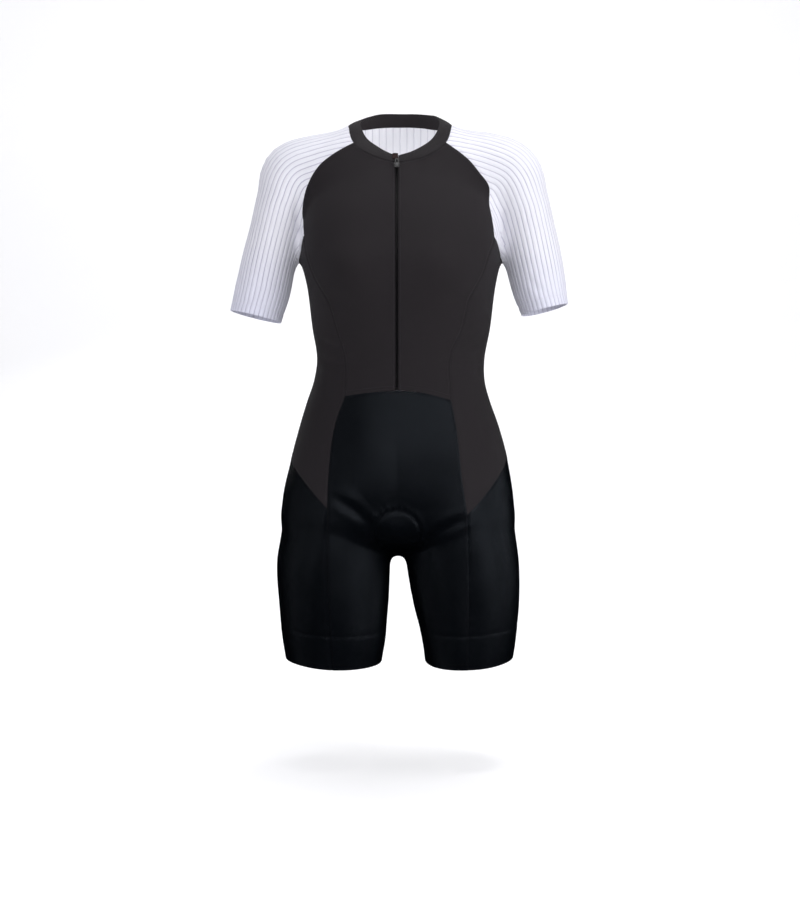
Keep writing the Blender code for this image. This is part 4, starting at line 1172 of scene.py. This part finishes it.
def thread(name, rows, finish, slot):
    """One piece of stitching; each row is a line of points with the ways out of the cloth."""
    settings = bpy.context.scene.suit_stitching
    pitch, radius = settings.pitch / MM, settings.thread / MM / 2
    shape, pattern = stitch_shape(settings.length / MM, radius)
    points, faces = [], []
    for line, ways in rows:
        run = length_along(line)
        places = np.arange(pitch / 2, run[-1] - pitch / 4, pitch)
        before, middles, after = (read_along(line, run, places + step) for step in (-0.4, 0, 0.4))
        along = unit(after - before)
        across = unit(np.cross(read_along(ways, run, places), along))
        for middle, x_way, y_way, z_way in zip(middles, along, across, np.cross(along, across)):
            start = len(points) * len(shape)
            points.append(middle + shape @ np.stack([x_way, y_way, z_way]))
            faces += [tuple(start + corner for corner in face) for face in pattern]
    mesh = bpy.data.meshes.new(name)
    mesh.from_pydata((np.vstack(points) * MM).tolist(), [], faces)
    mesh.shade_smooth()
    mesh.materials.append(twisted(finish))
    made = bpy.data.objects.new(name, mesh)
    bpy.context.scene.collection.objects.link(made)
    return placed(made, "suit", None)


def cuff_row(side, up):
    """The line round a sleeve this far above its cuff."""
    tube = sleeve_grids(side)[1][::-1]
    climbed = np.linalg.norm(np.diff(tube, axis=0), axis=2).mean(1).cumsum()
    at = np.searchsorted(climbed, up)
    share = (climbed[at] - up) / (climbed[at] - climbed[at - 1])
    return share * tube[at] + (1 - share) * tube[at + 1]


def seam_rows(names, distances, sides=(RIGHT, LEFT)):
    """Rows of stitching beside the seams named; a positive distance is towards the middle of the front."""
    return [on_cloth(beside(FINE_CUT[side][name], side * distance))
            for side in sides for name in names for distance in distances]


# ---- zip ----
CHAIN_START, CHAIN_END = 1.2, -4.6  # from the collar's top edge, and from the waist
SLIDER_DOWN = 13.4  # from the collar's top edge to the slider's middle
PIN_OUT = 3.4  # the pull turns about this height above the cloth
# The pull, from its eye down.
# Columns: down, half width.
PULL_ROWS = ((-0.6, 1.9), (0.6, 2.1), (3.6, 2.4), (6.2, 3.3), (9.2, 3.9), (12.0, 3.7), (13.8, 2.7),
             (14.8, 1.2))
PULL_EYE, PULL_THICKNESS = 1.1, 1.2
GARAGE_X = (-11.1, -2.7)
GARAGE_FINE = (45, 19)  # rows and columns of its grid
# The garage's fold, seen from the side.
# Columns: down the zip, out from the cloth.
GARAGE_FOLD = ((8.4, 1.6), (5.5, 1.75), (2.5, 1.7), (0, 1.75), (-1.8, 1.7), (-2.8, 1.2), (-3.2, 0.2),
               (-3.2, -1.3), (-3.2, -2.8), (-2.8, -3.7), (-1.9, -4.1), (0, -4.15), (2, -4.15), (4.0, -4.15))


def zip_tacks():
    """Short dense rows that hold the zip's lower end, longer on the left."""
    rows = []
    for side, tall in ((RIGHT, 6), (LEFT, 11)):
        edge = FINE_CUT[side]["front_edge"]
        run = length_along(edge)
        low = read_along(edge, run, np.linspace(run[-1] - tall, run[-1] - 1, 12))
        rows += [on_cloth(beside(low, -side * distance)) for distance in (2.2, 2.75, 3.3)]
    return rows


@functools.cache
def zip_path():
    """The zip's middle line on the outer face of the cloth, from the collar's top edge to the waist."""
    collar = collar_grid(FINE_CUT)[0]
    bands = (collar[:, 0] + collar[:, -1]) / 2
    fronts = (FINE_CUT[RIGHT]["front_edge"] + FINE_CUT[LEFT]["front_edge"]) / 2
    path = np.vstack([bands[:-1], fronts])
    path[:, 0] = ZIP_X
    return path


def zip_frames(distances, spread=2.0):
    """Points of the zip's line with the ways down along it and out of the cloth, across being +X."""
    path = zip_path()
    run = length_along(path)
    above, middles, below = (read_along(path, run, distances + step) for step in (-spread, 0, spread))
    down = unit(below - above)
    return middles, down, np.cross(down, [1.0, 0, 0])


def started(add, **settings):
    """The object that a primitive's operator adds, the only one selected."""
    bpy.ops.object.select_all(action="DESELECT")
    add(**settings)
    return bpy.context.object


def applied():
    bpy.ops.object.transform_apply(location=True, rotation=True, scale=True)


def out_of_edit():
    bpy.ops.object.mode_set(mode="OBJECT")


def modelled(name, finish, *, smooth=35.0):
    """The active object named, given its finish and its place in its mesh."""
    made = bpy.context.object
    made.name = made.data.name = name
    applied()
    bpy.ops.object.shade_smooth_by_angle(angle=math.radians(smooth))
    made.data.materials.clear()
    made.data.materials.append(finish)
    return made


def pick(made, kind, test):
    """Selects, in edit mode, only the faces or the edges that pass the test."""
    bpy.ops.object.mode_set(mode="EDIT")
    bpy.ops.mesh.select_mode(type=kind)
    bpy.ops.mesh.select_all(action="DESELECT")
    out_of_edit()
    for item in made.data.polygons if kind == "FACE" else made.data.edges:
        item.select = test(item)
    bpy.ops.object.mode_set(mode="EDIT")


def pick_faces(made, test):
    pick(made, "FACE", lambda face: test(face.center, face.normal))


def pick_edges(made, test):
    pick(made, "EDGE", lambda edge: test(*(made.data.vertices[end].co for end in edge.vertices)))


def rounded(made, width, segments=2, angle=35.0):
    """Rounds the sharp edges of a piece with a bevel."""
    bevel = made.modifiers.new("Rounded", "BEVEL")
    bevel.width, bevel.segments = width, segments
    bevel.limit_method, bevel.angle_limit = "ANGLE", math.radians(angle)
    bpy.ops.object.modifier_apply(modifier=bevel.name)


# ---- pieces of the zip ----
def coil_loop():
    """One loop of the zip's coil: its head lies across +X, and it turns back under itself at its tail."""
    made = started(bpy.ops.mesh.primitive_cylinder_add, vertices=6, radius=0.00052, depth=0.0013,
                   location=(-0.00025, 0, -0.00015), rotation=(0, math.pi / 2, 0))
    applied()
    pick_faces(made, lambda middle, normal: normal.x > 0.9)
    for travel, swell in ((0.0003, 1.22), (0.0003, 0.7)):
        bpy.ops.mesh.extrude_region_move(TRANSFORM_OT_translate={"value": (travel, 0, 0)})
        bpy.ops.transform.resize(value=(1, swell, swell))
    out_of_edit()
    pick_faces(made, lambda middle, normal: normal.x < -0.9)
    bpy.ops.mesh.spin(steps=4, angle=-math.pi, center=(-0.0009, 0, -0.00095), axis=(0, 1, 0))
    bpy.ops.mesh.extrude_region_move(TRANSFORM_OT_translate={"value": (0.0011, 0, 0)})
    bpy.ops.mesh.select_all(action="SELECT")
    bpy.ops.mesh.remove_doubles(threshold=0.00001)
    bpy.ops.mesh.normals_make_consistent(inside=False)
    out_of_edit()
    return modelled("zip_coil", satin_black(), smooth=60)


def repeated(made, places):
    """Copies of a modelled shape, one at each place, in the shape's own mesh."""
    copies = bmesh.new()
    for place in places:
        copy = made.data.copy()
        copy.transform(place)
        copies.from_mesh(copy)
        bpy.data.meshes.remove(copy)
    copies.to_mesh(made.data)
    copies.free()
    return made


def on_zip(distances, turned=False, lift=0.0):
    """Places along the zip: +X across, +Y up the zip and +Z out of the cloth."""
    places = []
    for number, (middle, down, out) in enumerate(zip(*zip_frames(np.array(distances, float), 4.0))):
        flip = -1 if turned and number % 2 else 1
        place = Matrix(np.column_stack([[flip, 0, 0], -flip * down, out]).tolist()).to_4x4()
        place.translation = Vector((middle + lift * out) * MM)
        places.append(place)
    return places


def zip_block(name, wide, tall, thick, low):
    """A block about the zip's line, its back this far out from the cloth."""
    made = started(bpy.ops.mesh.primitive_cube_add, size=1, location=(0, 0, (low + thick / 2) * MM))
    made.name = name
    made.scale = (wide * MM, tall * MM, thick * MM)
    applied()
    return made


def crowned(made, margin, rise):
    """Insets a piece's front face and lifts or sinks what is inside."""
    pick_faces(made, lambda middle, normal: normal.z > 0.9)
    bpy.ops.mesh.inset(thickness=margin * MM, depth=0)
    bpy.ops.mesh.inset(thickness=abs(rise) * MM, depth=rise * MM)
    out_of_edit()


def slider_body():
    """The slider's plate, narrower at its tail, with a crowned front."""
    made = zip_block("zip_slider_body", 6.4, 8.0, 1.2, 0.8)
    pick_faces(made, lambda middle, normal: normal.y < -0.9)
    bpy.ops.transform.resize(value=(0.8, 1, 1))
    pick_edges(made, lambda a, b: max(a.y, b.y) < 0 or min(a.y, b.y) > 0 and abs(a.z - b.z) > 0.5 * MM)
    bpy.ops.mesh.bevel(offset=1.7 * MM, segments=4)
    out_of_edit()
    crowned(made, 0.5, 0.3)
    rounded(made, 0.2 * MM)
    return modelled("zip_slider_body", satin_black())


def slider_bridge():
    """The arch on the slider that carries the pull."""
    made = started(bpy.ops.mesh.primitive_torus_add, major_radius=2.4 * MM, minor_radius=0.4 * MM,
                   major_segments=28, minor_segments=10, rotation=(0, math.pi / 2, 0))
    applied()
    made.scale = (1.8, 1.06, 1.16)
    made.location = (0, 0, 2.0 * MM)
    applied()
    bpy.ops.object.mode_set(mode="EDIT")
    bpy.ops.mesh.select_all(action="SELECT")
    bpy.ops.mesh.bisect(plane_co=(0, 0, 1.7 * MM), plane_no=(0, 0, 1), use_fill=True, clear_inner=True)
    out_of_edit()
    return modelled("zip_slider_bridge", satin_black(), smooth=60)


def pull_plate():
    """The pull about its pin: an eye, a waist and a rounded leaf with a sunk middle."""
    rows = len(PULL_ROWS)
    made = started(bpy.ops.mesh.primitive_grid_add, x_subdivisions=4, y_subdivisions=rows - 1, size=1)
    corners = sorted(made.data.vertices, key=lambda v: (-round(v.co.y, 4), v.co.x))
    for number, (down, half_width) in enumerate(PULL_ROWS):
        eye = min(PULL_EYE, half_width / 2)
        for corner, x in zip(corners[number * 5:number * 5 + 5], (-half_width, -eye, 0, eye, half_width)):
            corner.co = (x * MM, -down * MM, -PULL_THICKNESS / 2 * MM)
    pick_faces(made, lambda middle, normal: abs(middle.x) < 1.2 * MM and -3.6 * MM < middle.y < -0.6 * MM)
    bpy.ops.mesh.delete(type="FACE")
    bpy.ops.mesh.select_all(action="SELECT")
    bpy.ops.mesh.normals_make_consistent(inside=False)
    bpy.ops.mesh.extrude_region_move(TRANSFORM_OT_translate={"value": (0, 0, PULL_THICKNESS * MM)})
    bpy.ops.mesh.select_all(action="SELECT")
    bpy.ops.mesh.normals_make_consistent(inside=False)
    out_of_edit()
    pick_faces(made, lambda middle, normal: normal.z > 0.9 and middle.y < -4.4 * MM)
    bpy.ops.mesh.inset(thickness=1.0 * MM, depth=0)
    bpy.ops.mesh.inset(thickness=0.15 * MM, depth=-0.3 * MM)
    out_of_edit()
    rounded(made, 0.3 * MM, 3)
    return modelled("zip_pull_plate", satin_black())


def pull_pad():
    """The soft insert in the pull's sunk middle."""
    made = started(bpy.ops.mesh.primitive_cylinder_add, vertices=28, radius=0.5, depth=1)
    made.scale = (4.4 * MM, 7.4 * MM, 0.45 * MM)
    made.location = (0, -9.4 * MM, 0.45 * MM)
    applied()
    crowned(made, 0.4, 0.15)
    rounded(made, 0.12 * MM)
    return modelled("zip_pull_insert", pull_grey())


def garage_grid():
    """The garage's folded strip in millimetres, from its front edge over the collar to its back edge."""
    fold = np.array(GARAGE_FOLD, float)
    run = length_along(fold)
    rows, columns = GARAGE_FINE
    fold = through(run, fold, np.linspace(0, run[-1], rows))
    middle, down, out = (found[0] for found in zip_frames(np.array([3.0]), 3.0))
    top = middle - 3.0 * down
    share = np.linspace(0, 1, columns)
    across = GARAGE_X[0] + (GARAGE_X[1] - GARAGE_X[0]) * share - ZIP_X
    grid = top + across[:, None] * np.array([1.0, 0, 0]) + (fold[:, :1] * down + fold[:, 1:] * out)[:, None]
    puff = np.gradient(fold, axis=0)
    ways = puff[:, :1] * -out + puff[:, 1:] * down
    ways = unit(ways * np.sign(ways[0] @ out))
    bulge = 0.5 * np.sin(np.pi * share) * np.sin(np.pi * np.linspace(0, 1, rows))[:, None]
    ways = np.repeat(ways[:, None], columns, axis=1)
    return grid + bulge[..., None] * ways, ways


# ---- settings ----
def size(name, text, default, least=0.0, most=1.0):
    return FloatProperty(name=name, description=text, default=default, min=least, max=most, precision=4,
                         subtype="DISTANCE", unit="LENGTH")


def amount(name, text, default, least=0.0, most=10.0):
    return FloatProperty(name=name, description=text, default=default, min=least, max=most)


def colour(name, text, default):
    return FloatVectorProperty(name=name, description=text, default=default, size=3, min=0, max=1,
                               subtype="COLOR")


class ClothSettings(PropertyGroup):
    charcoal: colour("Charcoal", "Jersey of the fronts, sides and collar", (0.0166, 0.0140, 0.0160))
    blue_black: colour("Blue-black", "Lycra of the shorts", (0.0012, 0.0017, 0.0028))
    white: colour("White", "Ground of the back and sleeves", (0.84, 0.84, 0.90))
    # Painted shade of the lower sleeves: its lavender, and how much of it the cuffs take.
    shade_lavender: colour("Lavender", "Tint of the white cloth towards the cuffs", (0.56, 0.58, 0.80))
    cuff_shade_share: amount("Tint", "How much of the tint the cuffs take", 0.45, 0, 1)
    line_colour: colour("Pinstripe", "Thin lines on the white cloth", (0.46, 0.44, 0.57))
    thickness: size("Cloth", "Thickness of the cloth wall", 0.0015, 0.001, 0.003)
    line_spacing: size("Line spacing", "From one pinstripe to the next, flat", 0.0106)
    line_width: size("Line width", "Width of a pinstripe", 0.0012)
    sleeve_lines: amount("Sleeve lines", "Pinstripes round a sleeve", 40, 8, 60)
    seam_depth: size("Seam depth", "How far a seam draws the cloth in", 0.0006, 0, 0.002)
    unevenness: size("Unevenness", "Soft waves of the worn cloth", 0.0005, 0, 0.002)
    crease: amount("Creases", "Strength of the creases at armpits, groin and waist", 1.0, 0, 2)
    zip_stitch: size("Zip stitching", "From the edge beside the zip to its stitching", 0.0029)
    waist_stitch: size("Waist stitching", "From the waist seam up to its stitching", 0.0065)
    hem_depth: size("Hem", "Depth of the leg hems", 0.050)
    cuff_depth: size("Cuff", "Depth of the sleeve hems", 0.013)


class StitchSettings(PropertyGroup):
    pitch: size("Pitch", "From one stitch to the next", 0.0032, 0.001, 0.01)
    length: size("Stitch", "Length of a stitch", 0.0025, 0.0005, 0.01)
    thread: size("Thread", "Thickness of the thread", 0.00056, 0.0002, 0.002)
    seam_distance: size("Seam stitching", "From a seam to the stitching beside it", 0.0024)
    coil_pitch: size("Zip coil", "From one loop of the zip's coil to the next", 0.0013, 0.0008, 0.004)


class StageSettings(PropertyGroup):
    floor: colour("Paper", "Floor and backdrop", (0.86, 0.86, 0.86))
    floor_level: size("Floor level", "Height of the floor from the suit's shoulders", -0.955, -3, 0)
    key: amount("Key light", "Strength of the soft light above the camera", 27, 0, 1000)
    left: amount("Left light", "Strength of the light beside the wearer's left arm", 37, 0, 1000)
    right: amount("Right light", "Strength of the light beside the wearer's right arm", 12, 0, 1000)
    top: amount("Top light", "Strength of the light from above", 30, 0, 1000)
    back: amount("Back light", "Strength of the soft light from behind", 16, 0, 1000)
    wash: amount("Backdrop light", "Strength of the light on the backdrop", 20, 0, 1000)
    neck: amount("Neck light", "Strength of the small light inside the neck", 0.14, 0, 10)
    surround: amount("Surround", "Strength of the even light all round", 0.30, 0, 5)
    glow: amount("Glow", "How much light the paper itself gives", 0.25, 0, 5)


# ---- operators ----
class SuitOperator:
    bl_options = {"REGISTER", "UNDO"}


class SUIT_OT_bodice(SuitOperator, Operator):
    """Sew the charcoal fronts and sides"""

    bl_idname = "suit.bodice"
    bl_label = "Bodice"

    def execute(self, context):
        trunk = UprightMiddle(TRUNK_MIDDLE)
        for side, word in WORDS.items():
            front = fine_grid(side, ["front_edge"], ["raglan_front", "princess"], ["neck_front"],
                              ["waist_front"], trunk)
            sew_panel("front_" + word, [front], charcoal_jersey())
            flank = fine_grid(side, ["princess", "shorts_front"], ["side_back", "seat_side"],
                              ["armhole_front", "-armhole_back"], ["hip"], trunk)
            sew_panel("side_" + word, [flank], charcoal_jersey())
        return {"FINISHED"}


class SUIT_OT_back_and_sleeves(SuitOperator, Operator):
    """Sew the pinstriped back and the raglan sleeves"""

    bl_idname = "suit.back_and_sleeves"
    bl_label = "Back and sleeves"

    def execute(self, context):
        trunk = UprightMiddle(TRUNK_MIDDLE)
        grids = [fine_grid(side, ["raglan_back", "side_back"], ["centre_back"], ["neck_back"],
                           ["waist_back"], trunk) for side in WORDS]
        sew_panel("back", grids, pinstripe_white(), lines_of_back)
        for side, word in WORDS.items():
            sew_panel("sleeve_" + word, sleeve_grids(side), pinstripe_white(),
                      lines_of_sleeve)
        return {"FINISHED"}


class SUIT_OT_shorts(SuitOperator, Operator):
    """Sew the blue-black front of the shorts, leg sides and seats"""

    bl_idname = "suit.shorts"
    bl_label = "Shorts"

    def execute(self, context):
        grids = []
        for side, word in WORDS.items():
            legs = UprightMiddle([(z, side * x) for z, x in SHORTS_MIDDLE])
            grids.append(fine_grid(side, ["fly", "inseam"], ["shorts_front", "leg_front"], ["waist_top"],
                                   ["hem_front"], legs))
            outer = fine_grid(side, ["leg_front"], ["leg_back"], ["hip"], ["hem_side"], legs)
            sew_panel("leg_side_" + word, [outer], blue_black_lycra())
            seat = fine_grid(side, ["seat_side", "leg_back"], ["spine", "inseam"], ["waist_back"],
                             ["hem_seat"], legs)
            sew_panel("seat_" + word, [seat], blue_black_lycra())
        sew_panel("front_shorts", grids, blue_black_lycra())
        return {"FINISHED"}


class SUIT_OT_collar(SuitOperator, Operator):
    """Sew the low stand-up collar"""

    bl_idname = "suit.collar"
    bl_label = "Collar"

    def execute(self, context):
        grid, ways = collar_grid(FINE_CUT)
        made = sewn_band("collar_cloth", grid, ways, COLLAR_CLOTH, charcoal_jersey())
        cap = sewn_band("zip_garage_cloth", *garage_grid(), GARAGE_CLOTH, garage_twill())
        placed(cap, "suit", "zip_garage")
        width = max(length_along(grid[row])[-1] for row in (0, -1))
        tall = length_along(grid[:, grid.shape[1] // 2])[-1]
        declared(made, "collar", width, tall)
        return {"FINISHED"}


class SUIT_OT_stitching(SuitOperator, Operator):
    """Stitch beside the seams, the zip, the waist, the hems and the cuffs"""

    bl_idname = "suit.stitching"
    bl_label = "Stitching"

    def execute(self, context):
        cloth = context.scene.suit_cloth
        near = context.scene.suit_stitching.seam_distance / MM
        bodice = seam_rows(("princess",), (-near, near))
        for name in ("side_back", "raglan_front", "neck_front"):
            bodice += seam_rows((name,), (near,))
        shorts = seam_rows(("shorts_front", "leg_front", "leg_back", "hip", "seat_side"), (near,))
        shorts += seam_rows(("inseam",), (near,)) + seam_rows(("spine",), (near,), (RIGHT,))
        zip_rows = seam_rows(("front_edge",), (-cloth.zip_stitch / MM,)) + zip_tacks()
        waist = seam_rows(("waist_front", "waist_back"), (-cloth.waist_stitch / MM,))
        back = seam_rows(("raglan_back", "neck_back"), (near,))
        cuffs = [on_cloth(cuff_row(side, cloth.cuff_depth / MM)) for side in WORDS]
        hems = seam_rows(HEMS, (-cloth.hem_depth / MM,))
        for name, rows, finish, slot in (("bodice", bodice, "black_thread", "charcoal_jersey"),
                                         ("back", back, "white_thread", "pinstripe_white"),
                                         ("cuffs", cuffs, "white_thread", "pinstripe_white"),
                                         ("zip", zip_rows, "black_thread", "charcoal_jersey"),
                                         ("waist", waist, "black_thread", "charcoal_jersey"),
                                         ("shorts", shorts, "dark_thread", "blue_black_lycra"),
                                         ("hems", hems, "dark_thread", "blue_black_lycra")):
            thread("thread_" + name, rows, finish, slot)
        return {"FINISHED"}


class SUIT_OT_zip(SuitOperator, Operator):
    """Model the zip's coil, bottom stop, slider and pull"""

    bl_idname = "suit.zip"
    bl_label = "Zip"

    def execute(self, context):
        run = length_along(zip_path())[-1]
        pitch = context.scene.suit_stitching.coil_pitch / MM
        loops = np.arange(CHAIN_START + 0.7, run + CHAIN_END - 0.6, pitch)
        coil = repeated(coil_loop(), on_zip(loops, turned=True))
        stop = zip_block("zip_stop_block", 3.6, 3.6, 2.5, -1.75)
        crowned(stop, 0.5, 0.15)
        rounded(stop, 0.35 * MM, 3)
        stop = modelled("zip_stop_block", satin_black())
        stop.data.transform(on_zip([run + CHAIN_END + 2.1])[0])
        at_slider = on_zip([SLIDER_DOWN])[0]
        body, bridge = slider_body(), slider_bridge()
        pull, insert = pull_plate(), pull_pad()
        for made, lift in ((body, 0), (bridge, 0), (pull, PIN_OUT), (insert, PIN_OUT)):
            made.data.transform(at_slider @ Matrix.Translation((0, 0, lift * MM)))
        for made, node, part in ((coil, "zip_chain", "suit"), (stop, "zip_bottom_stop", "suit"),
                                 (body, "zip_slider", "suit"), (bridge, "zip_slider", "suit"),
                                 (pull, "zip_pull", "pull_tab"), (insert, "zip_pull", "pull_tab")):
            made.data.update()
            placed(made, part, node)
        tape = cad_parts["zip_tape"].data
        tape.materials.clear()
        tape.materials.append(tape_weave())
        return {"FINISHED"}


SUIT_MIDDLE = (0, 0, -0.42)
CAMERA = (0, -2.6, -0.30)
# Each lamp, named as its strength is in the settings: where it is, how wide, and what it shines on.
LAMPS = {
    "key": ((0, -3.1, 0.8), 1.3, SUIT_MIDDLE),
    "left": ((2.3, -1.4, 0.4), 1.3, SUIT_MIDDLE),
    "right": ((-2.3, -1.4, 0.4), 1.3, SUIT_MIDDLE),
    "top": ((0.2, 0.1, 1.9), 1.2, SUIT_MIDDLE),
    "back": ((-0.9, 2.7, 0.9), 1.6, SUIT_MIDDLE),
    "wash": ((0, 0.9, 1.6), 2.0, (0, 3.5, 0.2)),
    "neck": ((0, -0.02, -0.12), 0.06, (0, 0.075, -0.01)),
}


def turned_to(place, aim):
    """The turn of a lamp or camera at this place that looks at its aim."""
    return (Vector(aim) - Vector(place)).to_track_quat("-Z", "Y").to_euler()


class SUIT_OT_stage(SuitOperator, Operator):
    """Lay the pale floor and backdrop and place the lights and the camera"""

    bl_idname = "suit.stage"
    bl_label = "Stage"

    def execute(self, context):
        settings = context.scene.suit_stage
        floor = started(bpy.ops.mesh.primitive_plane_add, size=1, location=(0, 0, settings.floor_level))
        floor.name = "studio_sweep"
        floor.scale = (9, 7, 1)
        applied()
        pick_edges(floor, lambda a, b: a.y > 1 and b.y > 1)
        bpy.ops.mesh.extrude_region_move(TRANSFORM_OT_translate={"value": (0, 0, 5)})
        out_of_edit()
        rounded(floor, 1.4, 12, 40)
        floor.data.shade_smooth()
        floor.data.materials.append(studio_paper())
        floor.visible_glossy = False  # the cloth mirrors the lights alone
        context.scene.view_settings.view_transform = "Standard"
        world = bpy.data.worlds.new("studio")
        context.scene.world = world
        world.use_nodes = True
        world.cycles_visibility.glossy = False
        surround = world.node_tree.nodes["Background"].inputs
        surround["Color"].default_value = (0.88, 0.88, 1, 1)
        surround["Strength"].default_value = settings.surround
        for name, (place, wide, aim) in LAMPS.items():
            light = bpy.data.lights.new(name, "AREA")
            light.energy, light.size = getattr(settings, name), wide
            lamp = bpy.data.objects.new(name, light)
            lamp.visible_camera = False
            lamp.visible_glossy = name != "key"
            lamp.location = place
            lamp.rotation_euler = turned_to(place, aim)
            context.scene.collection.objects.link(lamp)
        view = bpy.data.cameras.new("camera")
        view.lens, view.sensor_width, view.sensor_fit = 69.5, 36, "AUTO"
        camera = bpy.data.objects.new("camera", view)
        camera.location = CAMERA
        camera.rotation_euler = turned_to(CAMERA, (0, 0, -0.48))
        context.scene.collection.objects.link(camera)
        context.scene.camera = camera
        return {"FINISHED"}


class SUIT_PT_panel(Panel):
    bl_label = "Triathlon suit"
    bl_space_type = "VIEW_3D"
    bl_region_type = "UI"
    bl_category = "Suit"

    def draw(self, context):
        for owner in (context.scene.suit_cloth, context.scene.suit_stitching, context.scene.suit_stage):
            box = self.layout.box()
            for name in owner.bl_rna.properties.keys():
                if name not in {"rna_type", "name"}:
                    box.prop(owner, name)
        for operator in OPERATORS:
            self.layout.operator(operator.bl_idname)


OPERATORS = (SUIT_OT_bodice, SUIT_OT_back_and_sleeves, SUIT_OT_shorts, SUIT_OT_collar, SUIT_OT_stitching,
             SUIT_OT_zip, SUIT_OT_stage)
CLASSES = (ClothSettings, StitchSettings, StageSettings, *OPERATORS, SUIT_PT_panel)


def register():
    for kind in CLASSES:
        bpy.utils.register_class(kind)
    bpy.types.Scene.suit_cloth = PointerProperty(type=ClothSettings)
    bpy.types.Scene.suit_stitching = PointerProperty(type=StitchSettings)
    bpy.types.Scene.suit_stage = PointerProperty(type=StageSettings)


def unregister():
    del bpy.types.Scene.suit_cloth, bpy.types.Scene.suit_stitching, bpy.types.Scene.suit_stage
    for kind in reversed(CLASSES):
        bpy.utils.unregister_class(kind)


def main():
    register()
    bpy.ops.suit.bodice()
    bpy.ops.suit.back_and_sleeves()
    bpy.ops.suit.shorts()
    bpy.ops.suit.collar()
    bpy.ops.suit.stitching()
    bpy.ops.suit.zip()
    bpy.ops.suit.stage()


if __name__ == "__main__":
    main()
